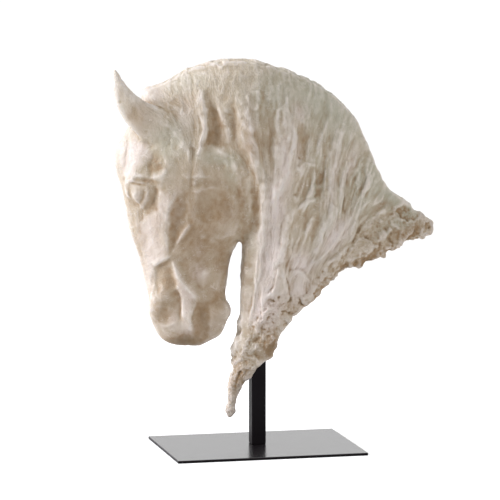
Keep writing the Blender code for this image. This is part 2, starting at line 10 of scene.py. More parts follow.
import bpy
import numpy as np
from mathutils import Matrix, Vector


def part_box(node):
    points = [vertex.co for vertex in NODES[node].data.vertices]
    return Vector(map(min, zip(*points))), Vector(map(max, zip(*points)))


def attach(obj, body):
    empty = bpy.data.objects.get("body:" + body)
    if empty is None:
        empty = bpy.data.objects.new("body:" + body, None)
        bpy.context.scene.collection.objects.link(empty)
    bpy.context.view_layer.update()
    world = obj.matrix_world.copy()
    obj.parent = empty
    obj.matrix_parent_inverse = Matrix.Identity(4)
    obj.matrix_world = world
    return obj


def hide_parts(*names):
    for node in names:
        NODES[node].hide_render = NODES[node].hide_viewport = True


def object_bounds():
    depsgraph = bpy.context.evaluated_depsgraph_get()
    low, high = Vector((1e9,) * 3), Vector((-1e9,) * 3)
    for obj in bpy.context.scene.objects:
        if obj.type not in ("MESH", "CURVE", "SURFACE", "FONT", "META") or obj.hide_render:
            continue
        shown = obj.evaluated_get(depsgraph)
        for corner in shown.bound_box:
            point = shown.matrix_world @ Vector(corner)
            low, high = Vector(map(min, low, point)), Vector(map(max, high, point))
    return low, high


bl_info = {
    "name": "Horse head on a stand",
    "version": (1, 0, 0),
    "blender": (4, 5, 0),
    "location": "View3D > Sidebar > Horse head",
    "description": "Carves and finishes a cast horse's head, its post, its plate and the stage",
    "category": "Object",
}

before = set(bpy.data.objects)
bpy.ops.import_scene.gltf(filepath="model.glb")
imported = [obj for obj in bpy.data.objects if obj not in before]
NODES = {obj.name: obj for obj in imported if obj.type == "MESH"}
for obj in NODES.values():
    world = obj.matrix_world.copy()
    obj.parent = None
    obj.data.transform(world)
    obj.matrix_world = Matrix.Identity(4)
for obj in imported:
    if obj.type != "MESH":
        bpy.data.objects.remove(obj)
CAD_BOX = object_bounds()

# The head's drawing, in millimetres, placed by the post that the head sits on
MM = 0.001
POST_LOW, POST_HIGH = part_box("post")
POST_X = (POST_LOW.x + POST_HIGH.x) / 2
POST_Y = (POST_LOW.y + POST_HIGH.y) / 2
SOCKET_DEPTH = 0.110
SOCKET_GAP = 0.0003
MOUTH_Z = POST_HIGH.z + SOCKET_GAP - SOCKET_DEPTH
HEAD_TURN = math.radians(20.0)
TURN_STARTS = 30.0
TURN_ENDS = -90.0
TURN_RADIUS = (TURN_STARTS - TURN_ENDS) / HEAD_TURN

# The side that the drawing shows, the far side, and both
NEAR = 1.0
FAR = -1.0
BOTH = (NEAR, FAR)

# The copy of the solid: points this close are merged, its facets are smoothed in so many passes
# that swell it back, its relief is melted in so many, and it stays this far inside the CAD box
MERGE_DISTANCE = 0.00001
SMOOTHING_PASSES = 20
SMOOTHING_SWELL = 0.51
MELTING_PASSES = 150
EDGE_ROOM = 0.0003

# The plate's upper face, and how far below it the cut edge starts
PLATE_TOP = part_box("base_plate")[1].z
PLATE_EDGE = 0.0006

# The floor's side in metres, how much it glows and how bright the surround is for the camera and
# reflections, and the camera's sensor in millimetres
FLOOR_SIDE = 4.0
FLOOR_GLOW = 0.45
SEEN_WHITE = 1.05
SENSOR_WIDTH = 36.0


# Between the drawing and the world

def from_drawing(points):
    """Places on the drawing as world places in metres, with the head turned to the far side."""
    along, up, out = points.T
    into = np.clip(TURN_STARTS - along, 0, TURN_STARTS - TURN_ENDS)
    beyond = np.maximum(TURN_ENDS - along, 0)
    angle = into / TURN_RADIUS
    middle_x = np.maximum(along, TURN_STARTS) - TURN_RADIUS * np.sin(angle) - beyond * np.cos(angle)
    middle_y = TURN_RADIUS * (1 - np.cos(angle)) + beyond * np.sin(angle)
    x = middle_x - out * np.sin(angle)
    y = middle_y - out * np.cos(angle)
    return np.column_stack([POST_X + x * MM, POST_Y + y * MM, MOUTH_Z + up * MM])


def to_drawing(points):
    """World places in metres as places on the drawing."""
    x = (points[:, 0] - POST_X) / MM
    y = (points[:, 1] - POST_Y) / MM
    up = (points[:, 2] - MOUTH_Z) / MM
    angle = np.clip(np.arctan2(TURN_STARTS - x, TURN_RADIUS - y), 0, HEAD_TURN)
    bent_out = np.hypot(x - TURN_STARTS, y - TURN_RADIUS) - TURN_RADIUS
    from_end_x = x - TURN_STARTS + TURN_RADIUS * math.sin(HEAD_TURN)
    from_end_y = y - TURN_RADIUS * (1 - math.cos(HEAD_TURN))
    beyond = from_end_y * math.sin(HEAD_TURN) - from_end_x * math.cos(HEAD_TURN)
    straight_out = -from_end_x * math.sin(HEAD_TURN) - from_end_y * math.cos(HEAD_TURN)
    in_neck = x >= TURN_STARTS
    in_head = angle >= HEAD_TURN
    turned = np.where(in_head, TURN_ENDS - beyond, TURN_STARTS - TURN_RADIUS * angle)
    along = np.where(in_neck, x, turned)
    out = np.where(in_neck, -y, np.where(in_head, straight_out, bent_out))
    return np.column_stack([along, up, out])


# Curves and noise

def smooth_line(points, count):
    """Evenly spaced points on a smooth curve through the given ones."""
    given = np.array(points, float)
    padded = np.vstack([2 * given[0] - given[1], given, 2 * given[-1] - given[-2]])
    fine = []
    for p0, p1, p2, p3 in zip(padded, padded[1:], padded[2:], padded[3:]):
        for t in np.linspace(0, 1, 8, endpoint=False):
            fine.append(0.5 * (2 * p1 + (p2 - p0) * t + (2 * p0 - 5 * p1 + 4 * p2 - p3) * t * t
                               + (3 * p1 - p0 - 3 * p2 + p3) * t ** 3))
    fine.append(given[-1])
    line = np.array(fine)
    reach = run_along(line)
    wanted = np.linspace(0, reach[-1], count)
    return np.column_stack([np.interp(wanted, reach, line[:, k]) for k in range(line.shape[1])])


def run_along(line):
    """How far along a line each of its points is."""
    return np.concatenate([[0], np.cumsum(np.linalg.norm(np.diff(line, axis=0), axis=1))])


def ramp(value, low, high):
    """0 below low, 1 above high and smooth between them."""
    t = np.clip((value - low) / (high - low), 0, 1)
    return t * t * (3 - 2 * t)


def lattice_value(i, j, k, seed):
    """A fixed random number from 0 to 1 for each corner of a lattice."""
    mixed = np.sin(i * 127.1 + j * 311.7 + k * 74.7 + seed * 53.3) * 43758.5453
    return mixed - np.floor(mixed)


def noise(x, y, z, seed):
    """Smooth noise from -1 to 1 whose bumps are about one unit across."""
    i, j, k = np.floor(x), np.floor(y), np.floor(z)
    fx, fy, fz = (f * f * (3 - 2 * f) for f in (x - i, y - j, z - k))
    total = 0
    for di in (0, 1):
        for dj in (0, 1):
            for dk in (0, 1):
                weight = (fx if di else 1 - fx) * (fy if dj else 1 - fy) * (fz if dk else 1 - fz)
                total = total + weight * (2 * lattice_value(i + di, j + dj, k + dk, seed) - 1)
    return total


def lumps(places, size, seed):
    """Smooth noise from -1 to 1 whose bumps are of this size along, up and out."""
    return noise(*(places / size).T, seed)


def cobbles(places, size, seed):
    """Rounded stones of about this size: 1 in the middle of each and 0 in the cracks."""
    x, y, z = (places / size).T
    i, j, k = np.floor(x), np.floor(y), np.floor(z)
    first = np.full(len(x), 9.0)
    second = np.full(len(x), 9.0)
    for di in (-1, 0, 1):
        for dj in (-1, 0, 1):
            for dk in (-1, 0, 1):
                a, b, c = i + di, j + dj, k + dk
                away = np.sqrt((a + lattice_value(a, b, c, seed) - x) ** 2
                               + (b + lattice_value(a, b, c, seed + 1) - y) ** 2
                               + (c + lattice_value(a, b, c, seed + 2) - z) ** 2)
                second = np.minimum(second, np.maximum(first, away))
                first = np.minimum(first, away)
    return ramp(second - first, 0.0, 0.45)


def peaked(values):
    """Noise as thin crests between wide hollows, from about -1 to 1."""
    return 1 - 2.4 * np.abs(values)


def stepped(values, low, high):
    """Noise as two levels with a steep edge between them, from -0.5 to 0.5."""
    return ramp(values, low, high) - 0.5


# The surface being carved

class Surface:
    """A mesh's points on the drawing, with tools that raise or sink them along their normals."""

    def __init__(self, obj, depth):
        self.depth = depth
        self.mesh = obj.data
        count = len(self.mesh.vertices)
        world = np.empty(count * 3)
        self.mesh.vertices.foreach_get("co", world)
        self.points = to_drawing(world.reshape(-1, 3))
        corners = np.empty(len(self.mesh.loops), np.int32)
        self.mesh.loops.foreach_get("vertex_index", corners)
        quads = corners.reshape(-1, 4)
        sides = [quads[:, [a, b]] for a, b in ((0, 1), (1, 2), (2, 3), (3, 0))]
        self.sides = np.unique(np.sort(np.concatenate(sides), axis=1), axis=0)
        self.degree = np.bincount(self.sides.ravel(), minlength=count).astype(float)
        self.read_normals()

    def read_normals(self):
        """Lets the mesh follow the points, and takes its normals."""
        self.mesh.vertices.foreach_set("co", self.points.ravel())
        self.mesh.update()
        normals = np.empty(len(self.points) * 3)
        self.mesh.vertices.foreach_get("normal", normals)
        self.normals = normals.reshape(-1, 3)

    def set_wobble(self):
        """How far a hand-drawn line strays from its path at each point, and how hard it presses."""
        self.wobble = np.column_stack([
            1.7 * lumps(self.points, 15, seed) + 0.7 * lumps(self.points, 5.5, seed + 1)
            for seed in (11, 13)])
        self.pressure = 1 + 0.45 * lumps(self.points, 9, 15)

    def around(self, values):
        """The average over each point's neighbours."""
        a, b = self.sides.T
        count = len(values)
        total = np.empty_like(values)
        for k in range(values.shape[1]):
            total[:, k] = (np.bincount(a, values[b, k], count) + np.bincount(b, values[a, k], count))
        return total / self.degree[:, None]

    def relaxed(self, points, passes):
        """The points after so many passes of smoothing."""
        points = points.copy()
        for _ in range(passes):
            points += 0.5 * (self.around(points) - points)
        return points

    def soften(self, passes, swell=0.0):
        """Smooths the surface. With swell it keeps its volume."""
        for _ in range(passes):
            self.points = self.relaxed(self.points, 1)
            if swell:
                self.points -= swell * (self.around(self.points) - self.points)
        self.read_normals()

    def melt(self, passes, share):
        """Takes a share of the relief out of the broad faces, and leaves edges and thin parts."""
        flat = self.relaxed(self.points, passes)
        along, up, _ = self.points.T
        ear = ramp(up - 0.5 * (along + 200), 405, 440) * (1 - ramp(along, -196, -176))
        below = 1 - ramp(up, -40, 10)
        broad = ramp(np.abs(self.normals[:, 2]), 0.35, 0.75) * (1 - np.maximum(ear, below))
        broad = self.blurred(broad, 30) * broad
        self.points += (share * broad)[:, None] * (flat - self.points)
        self.read_normals()

    def blurred(self, values, passes):
        """A value for each point after so many passes of blurring."""
        values = values[:, None]
        for _ in range(passes):
            values = 0.5 * values + 0.5 * self.around(values)
        return values[:, 0]

    def facing(self, side):
        """1 where the surface faces a side and 0 where it faces away."""
        return ramp(self.normals[:, 2] * side, -0.2, 0.25)

    def push(self, amount):
        """Raises every point by its own amount."""
        self.points += self.normals * np.asarray(amount)[:, None]

    def push_both(self, amount):
        """Raises the two sides alike."""
        self.push(amount * (self.facing(NEAR) + self.facing(FAR)))

    def push_some(self, index, shape, sides):
        """Raises some of the points, on the sides that are asked for."""
        for side in sides:
            amount = shape * self.facing(side)[index]
            self.points[index] += self.normals[index] * amount[:, None]

    def near_line(self, line, reach, wander):
        """Indices of the points within reach of a line in the drawing's plane, with their
        distance, how far along it they are and on which hand."""
        low = line.min(axis=0) - reach
        high = line.max(axis=0) + reach
        here = self.points[:, :2]
        index = np.flatnonzero(((here > low) & (here < high)).all(axis=1))
        here = here[index] + wander * self.wobble[index]
        steps = np.linalg.norm(np.diff(line, axis=0), axis=1)
        starts = np.concatenate([[0], np.cumsum(steps)])
        best = np.full(len(index), np.inf)
        share = np.zeros(len(index))
        hand = np.zeros(len(index))
        for a, b, step, start in zip(line, line[1:], steps, starts):
            ahead = (b - a) / step
            offset = here - a
            t = np.clip(offset @ ahead, 0, step)
            away = np.linalg.norm(offset - t[:, None] * ahead, axis=1)
            closer = away < best
            best[closer] = away[closer]
            share[closer] = ((start + t) / starts[-1])[closer]
            hand[closer] = np.sign(ahead[0] * offset[:, 1] - ahead[1] * offset[:, 0])[closer]
        return index, best, share, hand

    def stroke(self, path, height, minus, plus, sides=(NEAR,), taper=0.3, wander=1.0, sharp=1.35):
        """A ridge, or with a negative height a groove, along a line, with its own half width on
        each hand: plus is towards the back for a line drawn downwards, and above for one drawn to
        the right."""
        line = smooth_line(path, 5 * len(path))
        index, away, share, hand = self.near_line(line, 3 * max(minus, plus), wander)
        ends = ramp(share, -0.02, taper) * (1 - ramp(share, 1 - taper, 1.02))
        width = np.where(hand > 0, plus, minus)
        shape = np.exp(-(away / width) ** sharp) * ends * height * self.depth
        shape = shape * (1 + wander * (self.pressure[index] - 1))
        self.push_some(index, shape, sides)

    def strokes(self, lines, **manner):
        """Every stroke of a list."""
        for path, height, minus, plus in lines:
            self.stroke(path, height, minus, plus, **manner)

    def ledge(self, path, height, fall, hand, sides=(NEAR,), taper=0.15):
        """A step along a line: its hand stands up and slopes off behind."""
        line = smooth_line(path, 5 * len(path))
        index, away, share, which = self.near_line(line, 3 * fall, 1.0)
        ends = ramp(share, -0.01, taper) * (1 - ramp(share, 1 - taper, 1.01))
        signed = away * which * hand
        rise = ramp(signed, -1.6, 1.8) * np.exp(-np.maximum(signed, 0) / fall)
        dip = -0.35 * np.exp(-((signed + 2.6) / 2.6) ** 2)
        shape = (rise + dip) * ends * height * self.depth * self.pressure[index]
        self.push_some(index, shape, sides)

    def patch(self, centre, radii, tilt=0.0, stray=0.0):
        """1 in the middle of an oval and falling off outside it."""
        turn = math.radians(tilt)
        along = self.points[:, 0] - centre[0] + stray * self.wobble[:, 0]
        up = self.points[:, 1] - centre[1] + stray * self.wobble[:, 1]
        a = (along * math.cos(turn) + up * math.sin(turn)) / radii[0]
        b = (up * math.cos(turn) - along * math.sin(turn)) / radii[1]
        return np.exp(-(a * a + b * b))

    def plane(self, outline, blur=1.0):
        """1 inside an outline drawn on the surface, falling off over its edge."""
        stray = (0.8 + blur) * self.wobble[:, 1]
        return ramp(stray - self.outline_distance(outline), -3.5 * blur, 5.0 * blur)

    def dab(self, centre, radii, height, tilt=0.0, sides=(NEAR,)):
        """A round, or with a negative height a hollow, over an oval."""
        shape = self.patch(centre, radii, tilt, 1.0) * height * self.depth
        for side in sides:
            self.push(shape * self.facing(side))

    def outline_distance(self, outline):
        """Signed distance to a closed outline in the drawing's plane, negative inside it."""
        here = self.points[:, :2]
        corners = np.array(outline, float)
        best = np.full(len(here), np.inf)
        inside = np.zeros(len(here), bool)
        for a, b in zip(corners, np.roll(corners, -1, axis=0)):
            step = b - a
            t = np.clip(((here - a) @ step) / (step @ step), 0, 1)
            best = np.minimum(best, np.linalg.norm(here - a - t[:, None] * step, axis=1))
            crosses = (a[1] > here[:, 1]) != (b[1] > here[:, 1])
            if b[1] != a[1]:
                at = a[0] + (here[:, 1] - a[1]) * (b[0] - a[0]) / (b[1] - a[1])
                inside ^= crosses & (here[:, 0] < at)
        return np.where(inside, -best, best)

    def store(self, name, values):
        """Keeps a number or a vector for each point, for the material to read by name."""
        kind, field = ("FLOAT", "value") if values.ndim == 1 else ("FLOAT_VECTOR", "vector")
        layer = self.mesh.attributes.new(name, kind, "POINT")
        layer.data.foreach_set(field, np.asarray(values, np.float32).ravel())


# Which way the hair runs: the mane starts outside the face's outline and follows the guides,
# which are drawn from the crest down and spread over a grid of cells

FACE_OUTLINE = (
    (-260, 520), (-205, 476), (-185, 455), (-160, 436), (-140, 424), (-122, 396), (-112, 366),
    (-104, 366), (-86, 386), (-66, 388), (-48, 378), (-32, 356), (-22, 330), (-15, 296),
    (-18, 254), (-32, 226), (-46, 205), (-48, 160), (-40, 100), (-60, 60), (-120, 20),
    (-220, 20), (-280, 200), (-280, 520),
)
LOCK_GUIDES = (
    ((-230, 500), (-220, 470), (-190, 440), (-150, 400), (-124, 360), (-116, 320)),
    ((-200, 488), (-178, 470), (-150, 448), (-126, 420), (-112, 380), (-108, 330)),
    ((-140, 512), (-128, 480), (-112, 452), (-104, 420), (-104, 380), (-106, 340)),
    ((-92, 534), (-88, 492), (-88, 460), (-87, 426), (-93, 392), (-102, 358), (-104, 320)),
    ((-60, 540), (-62, 474), (-61, 457), (-56, 431), (-56, 410), (-52, 386), (-40, 358), (-24, 320)),
    ((-24, 541), (-19, 500), (-19, 465), (-17, 430), (-12, 401), (-6, 359), (1, 330), (4, 290),
     (2, 240), (-6, 160), (-16, 90), (-30, 0)),
    ((24, 530), (22, 480), (18, 440), (14, 390), (9, 343), (10, 300), (8, 240), (2, 160), (-8, 90)),
    ((72, 514), (62, 442), (54, 404), (46, 372), (35, 336), (22, 304), (18, 264), (14, 220),
     (10, 160), (0, 90)),
    ((122, 488), (100, 420), (90, 383), (82, 340), (66, 300), (50, 260), (38, 220), (28, 170), (14, 90)),
    ((150, 462), (137, 419), (129, 392), (121, 352), (119, 320), (112, 275), (100, 240), (84, 195),
     (56, 160), (30, 100)),
    ((180, 424), (166, 384), (157, 360), (146, 331), (138, 300), (130, 262), (116, 225), (90, 186)),
    ((212, 354), (198, 330), (184, 300), (166, 268), (148, 236), (120, 200), (96, 178)),
    ((262, 290), (236, 276), (206, 262), (178, 248), (160, 222), (136, 196), (110, 176)),
    ((322, 244), (280, 240), (240, 224), (204, 206), (176, 190), (150, 178), (120, 160)),
)
FIELD_CELL = 4.0
FIELD_LOW = np.array([-300.0, -120.0])
FIELD_CELLS = (168, 176)


class HairField:
    """Across, which counts the guides, and down, in millimetres from the crest, smoothly spread
    over the drawing."""

    def __init__(self):
        columns, rows = FIELD_CELLS
        i, j = np.meshgrid(np.arange(columns), np.arange(rows), indexing="ij")
        cells = FIELD_LOW + FIELD_CELL * np.column_stack([i.ravel(), j.ravel()])
        lines = [smooth_line(guide, 60) for guide in LOCK_GUIDES]
        away = np.stack([np.linalg.norm(cells[:, None] - line[None], axis=2) for line in lines])
        nearest = away.argmin(axis=2)
        closest = away.min(axis=2)
        reach = [run_along(line) for line in lines]
        both = closest[:-1] + closest[1:]
        left = both.argmin(axis=0)
        at = np.arange(len(cells))
        part = closest[left, at] / both[left, at]
        down = np.stack([run[near] for run, near in zip(reach, nearest)])
        across = (left + part).reshape(FIELD_CELLS)
        down = (down[left, at] * (1 - part) + down[left + 1, at] * part).reshape(FIELD_CELLS)
        held = np.zeros(FIELD_CELLS, bool)
        held_across, held_down = across.copy(), down.copy()
        for number, (line, run) in enumerate(zip(lines, reach)):
            cell = np.round((line - FIELD_LOW) / FIELD_CELL).astype(int)
            held[cell[:, 0], cell[:, 1]] = True
            held_across[cell[:, 0], cell[:, 1]] = number
            held_down[cell[:, 0], cell[:, 1]] = run
        for _ in range(120):
            across = np.where(held, held_across, self.spread(across))
            down = np.where(held, held_down, self.spread(down))
        for _ in range(4):
            across, down = self.spread(across), self.spread(down)
        self.across, self.down = across, down
        gradient = np.hypot(*np.gradient(across, FIELD_CELL))
        self.spacing = 1 / np.clip(gradient, 1 / 60, 1 / 7)

    @staticmethod
    def spread(values):
        """The average of the four cells around each."""
        wide = np.pad(values, 1, mode="edge")
        return (wide[:-2, 1:-1] + wide[2:, 1:-1] + wide[1:-1, :-2] + wide[1:-1, 2:]) / 4

    def read(self, points):
        """Across, down and the guides' spacing at each point."""
        return [self.at(points, values) for values in (self.across, self.down, self.spacing)]

    @staticmethod
    def at(points, values):
        """Values read between the cells."""
        place = (points[:, :2] - FIELD_LOW) / FIELD_CELL
        place = np.clip(place, 0, np.array(FIELD_CELLS) - 1.001)
        cell = place.astype(int)
        fx, fy = (place - cell).T
        i, j = cell.T
        return ((values[i, j] * (1 - fx) + values[i + 1, j] * fx) * (1 - fy)
                + (values[i, j + 1] * (1 - fx) + values[i + 1, j + 1] * fx) * fy)


def strands(hair, width, length, seed):
    """Noise drawn out along the hair, about width millimetres across wherever it is."""
    across, down, spacing, side = hair
    octave = np.log2(spacing / width)
    whole = np.floor(octave)
    part = octave - whole
    first = noise(across * 2.0 ** whole, down / length, side + 5 * whole, seed)
    second = noise(across * 2.0 ** (whole + 1), down / length, side + 5 * whole + 5, seed)
    return (first * (1 - part) + second * part) / np.sqrt(part ** 2 + (1 - part) ** 2)


# The face, the same on both sides: path, height and half widths on each hand, in millimetres

FACE_STROKES = (
    (((-221, 408), (-224, 372), (-227, 344)), -1.6, 3, 3),
    (((-215, 405), (-216, 372), (-216, 350)), 1.0, 3, 8),
    (((-162, 362), (-155, 352), (-158, 344), (-170, 339), (-190, 338)), 1.5, 3, 7),
    (((-228, 338), (-212, 341), (-196, 341), (-180, 338)), 1.5, 3, 9),
    (((-219, 327), (-205, 332), (-188, 335), (-170, 333), (-154, 328)), -0.7, 4, 4),
    (((-137, 324), (-139, 303), (-147, 288), (-150, 275), (-152, 261), (-154, 245), (-150, 229),
      (-152, 212), (-149, 197)), 1.9, 12, 4),
    (((-128, 312), (-133, 292), (-141, 272), (-143, 245), (-140, 222)), -1.8, 5, 10),
    (((-102, 262), (-112, 255), (-121, 245), (-131, 229), (-139, 216)), 1.6, 2.6, 4),
    (((-100, 251), (-114, 237), (-127, 220)), -1.1, 4, 2.6),
    (((-124, 346), (-111, 341), (-93, 342), (-80, 338)), 1.7, 3, 6),
    (((-118, 330), (-100, 326), (-84, 331)), -1.6, 5, 3),
    (((-112, 318), (-94, 315), (-76, 322), (-60, 316)), 1.3, 3, 3),
    (((-198, 403), (-184, 399), (-176, 386)), -1.4, 6, 4),
    (((-175, 450), (-152, 433), (-137, 418), (-121, 397), (-112, 380), (-109, 350)), 1.6, 9, 4),
    (((-150, 380), (-138, 372), (-128, 356), (-126, 340)), -0.9, 6, 5),
    (((-86, 386), (-68, 388), (-50, 376), (-37, 352), (-31, 322), (-30, 290)), 1.8, 10, 4),
    (((-82, 372), (-66, 374), (-52, 364), (-44, 348)), 1.1, 7, 4),
    (((-92, 398), (-70, 404), (-46, 394), (-27, 366), (-19, 334), (-18, 296)), -1.8, 5, 8),
    (((-104, 372), (-107, 350), (-106, 326)), -1.6, 3, 6),
    (((-190, 250), (-186, 228), (-184, 204), (-186, 186)), -0.7, 7, 7),
    (((-118, 206), (-122, 188), (-116, 172)), -0.8, 6, 6),
)
EYE_STROKES = (
    (((-217, 328), (-219, 314), (-217, 302), (-213, 291), (-206, 280)), -1.6, 3, 2.2),
    (((-224, 326), (-214, 334), (-206, 332), (-193, 330), (-182, 326)), 1.7, 2.4, 3),
    (((-214, 329), (-205, 328), (-194, 326)), -1.2, 2, 2),
    (((-181, 322), (-185, 310), (-188, 300), (-193, 290), (-199, 279)), 1.5, 2.4, 3.8),
    (((-190, 318), (-192, 308), (-196, 298), (-201, 290)), -1.5, 2, 2),
    (((-176, 328), (-170, 318), (-173, 304), (-179, 289)), -1.6, 3, 4),
    (((-196, 282), (-197, 271), (-196, 258)), -1.3, 3, 2.6),
    (((-223, 318), (-224, 300), (-218, 284)), 1.0, 3, 3),
    (((-206, 280), (-208, 266), (-210, 250)), 0.8, 4, 4),
)
MUZZLE_STROKES = (
    (((-144, 200), (-153, 195), (-165, 189), (-179, 178)), 2.4, 9, 2.6),
    (((-146, 194), (-154, 188), (-165, 182), (-176, 172)), -1.3, 2, 6),
    (((-172, 176), (-174, 160), (-174, 140), (-182, 126)), -1.6, 3, 6),
    (((-145, 194), (-135, 163), (-123, 146), (-112, 133), (-104, 122), (-101, 112)), 2.3, 3.2, 10),
    (((-152, 180), (-146, 160), (-137, 142)), -1.6, 6, 4),
    (((-138, 141), (-133, 121), (-132, 102), (-132, 90), (-126, 80)), -2.6, 4, 3),
    (((-128, 122), (-126, 104), (-126, 88)), 1.2, 3, 4),
    (((-181, 110), (-182, 94), (-171, 80), (-160, 74), (-148, 77), (-135, 85)), 1.8, 3, 5),
    (((-103, 116), (-110, 103), (-114, 86), (-114, 62)), 2.2, 6, 2.6),
    (((-98, 110), (-97, 89), (-92, 67), (-88, 46)), -2.2, 5, 4),
    (((-150, 64), (-136, 58), (-120, 54), (-104, 47)), -1.2, 3, 3),
    (((-101, 173), (-103, 154), (-95, 139), (-83, 146)), -1.2, 3, 3),
    (((-66, 190), (-65, 158), (-74, 130)), 1.4, 5, 5),
    (((-74, 112), (-62, 116), (-54, 106), (-58, 92)), 1.0, 4, 4),
)

# Hollows and rounds of the face: centre, radii, height and tilt
CHEEK_HOLLOW = (-80, 290), (18, 26), -1.2, -8
FAR_CHEEKBONE = (-224, 244), (5, 7), 3.0, 0
EYE_SOCKET = (-202, 310), (12, 21), -2.0, 0
EYEBALL = (-203, 310), (8.5, 15), 3.0, 0
NOSTRIL = (-159, 101), (10, 12), -1.6, -8
JAW_KNOB = (-89, 168), (7, 9), 1.6, 0

# The near side's mane, with strokes as on the face

BROAD_LOCKS = (
    (((-40, 500), (-30, 465), (-24, 430), (-14, 390), (-6, 350), (2, 315), (5, 280), (4, 250)), 2.4, 10, 8),
    (((52, 460), (42, 420), (32, 380), (22, 340), (14, 300), (10, 260)), 3.0, 16, 12),
    (((62, 440), (54, 404), (48, 380), (38, 345), (24, 308), (16, 270)), 1.6, 8, 6),
    (((56, 346), (66, 350), (80, 354)), 1.6, 9, 5),
    (((58, 278), (72, 290), (88, 298)), 1.6, 9, 5),
    (((150, 450), (137, 415), (126, 380), (120, 340), (116, 300), (106, 262), (92, 226)), 2.8, 11, 8),
    (((166, 384), (152, 352), (142, 318), (134, 284)), 2.8, 7, 5),
    (((204, 352), (196, 322), (196, 296)), 1.6, 9, 9),
    (((54, 292), (42, 265), (36, 240), (30, 210), (26, 184)), 2.8, 9, 7),
    (((94, 280), (80, 252), (70, 228)), 2.0, 6, 5),
    (((118, 280), (104, 248), (96, 216), (84, 196)), 1.8, 6, 5),
    (((2, 340), (8, 303), (8, 262), (2, 220), (-4, 180)), 1.8, 10, 8),
    (((-92, 500), (-92, 470), (-88, 440), (-88, 410), (-94, 380)), 1.8, 9, 5),
    (((110, 170), (84, 160), (66, 166)), 1.6, 9, 9),
)
MANE_STROKES = (
    (((-84, 500), (-90, 480), (-88, 462), (-84, 445), (-87, 423), (-93, 392), (-102, 358), (-104, 336)),
     2.0, 6, 3),
    (((-70, 484), (-55, 458), (-49, 434), (-49, 410), (-57, 390)), 1.4, 3, 2.6),
    (((-37, 430), (-28, 407), (-21, 391), (-13, 361)), 1.6, 5, 2.8),
    (((-24, 505), (-19, 480), (-20, 457), (-17, 430), (-12, 401), (-6, 359), (1, 336)), 2.2, 5, 2.8),
    (((-14, 420), (-10, 400), (-4, 372), (4, 340)), 1.4, 3, 3),
    (((45, 452), (48, 418), (38, 395), (27, 357)), 1.6, 4, 2.6),
    (((64, 446), (59, 428), (54, 405), (48, 378), (37, 342), (22, 304), (15, 264), (17, 237)), 2.2, 6, 2.6),
    (((52, 424), (46, 398), (40, 376)), -1.4, 2.4, 2.4),
    (((30, 400), (22, 366), (14, 330)), 1.2, 3, 3),
    (((108, 426), (100, 397), (92, 366)), 1.4, 2.4, 3),
    (((102, 424), (95, 396), (87, 366)), -1.2, 3, 2),
    (((146, 447), (137, 419), (129, 392), (122, 365), (119, 338), (120, 305), (110, 270)), 1.6, 5, 3),
    (((160, 374), (149, 354), (144, 335), (138, 310)), 3.0, 4, 2.6),
    (((151, 312), (140, 288), (136, 260)), 2.6, 4, 2.6),
    (((196, 358), (191, 330), (198, 306)), 2.4, 5, 3),
    (((90, 278), (79, 255), (70, 234)), 2.4, 4, 2.6),
    (((116, 276), (104, 248), (99, 222), (84, 196)), 2.0, 4, 2.6),
    (((146, 246), (123, 219), (97, 192), (66, 176)), 2.0, 3, 6),
    (((34, 280), (28, 263), (26, 229), (27, 200)), -2.4, 3, 3),
    (((56, 230), (48, 207), (41, 189), (37, 172)), -2.6, 4, 5),
    (((-14, 334), (-12, 291), (-15, 251), (-24, 222)), -1.8, 6, 8),
    (((-114, 412), (-113, 391), (-112, 368)), 1.3, 2.4, 2.4),
    (((-99, 452), (-93, 428), (-95, 408)), -2.0, 2.4, 2.4),
    (((30, 480), (25, 440), (20, 392), (14, 350)), 1.2, 5, 3),
    (((88, 470), (80, 430), (74, 398)), 1.0, 4, 3),
    (((178, 400), (170, 366), (162, 330)), 1.2, 4, 3),
)

# Centre, radii, height and tilt
MANE_HOLLOWS = (
    ((-38, 360), (14, 26), -1.6, 30),
    ((12, 430), (9, 44), -1.4, 4),
    ((106, 345), (8, 46), -2.0, -10),
    ((88, 250), (6, 26), -1.6, -24),
    ((182, 380), (9, 26), -1.6, -20),
    ((126, 246), (8, 30), -1.6, -26),
)

# Centre, radius and depth
PITS = (
    ((64, 372), 2.8, -2.6),
    ((54, 308), 3.2, -3.2),
    ((-50, 449), 2.6, -2.2),
    ((-232, 471), 2.4, -1.6),
    ((-185, 419), 2.2, -1.2),
)

# Edges where a flake of resin stands over its neighbour: path, height, fall behind it and hand
FLAKES = (
    (((54, 356), (64, 357), (69, 362), (76, 363), (83, 361), (92, 359)), 2.2, 16, -1),
    (((56, 283), (65, 292), (71, 296), (80, 298), (87, 298), (98, 306)), 2.2, 16, -1),
    (((254, 283), (243, 275), (232, 266), (214, 262), (192, 259), (181, 247), (173, 235),
      (163, 221), (150, 212), (125, 192), (101, 185)), 2.2, 18, 1),
    (((40, 168), (53, 173), (64, 174), (76, 162), (88, 150)), 2.4, 14, -1),
    (((256, 281), (267, 277), (279, 271)), 2.6, 18, 1),
    (((-18, 485), (-8, 491), (1, 483), (1, 468), (-8, 456), (-17, 463)), 1.2, 9, -1),
)

# Path, half width and depth
CRACKS = (
    (((32, 190), (23, 178), (21, 167), (17, 146), (6, 131)), 1.8, -3.0),
    (((38, 166), (45, 143), (49, 114)), 1.8, -3.6),
    (((-30, -6), (-36, -24), (-39, -44)), 2.0, -3.0),
    (((240, 266), (230, 265), (220, 262), (204, 261)), 2.0, -2.2),
    (((188, 254), (180, 244), (172, 233)), 2.0, -2.2),
)

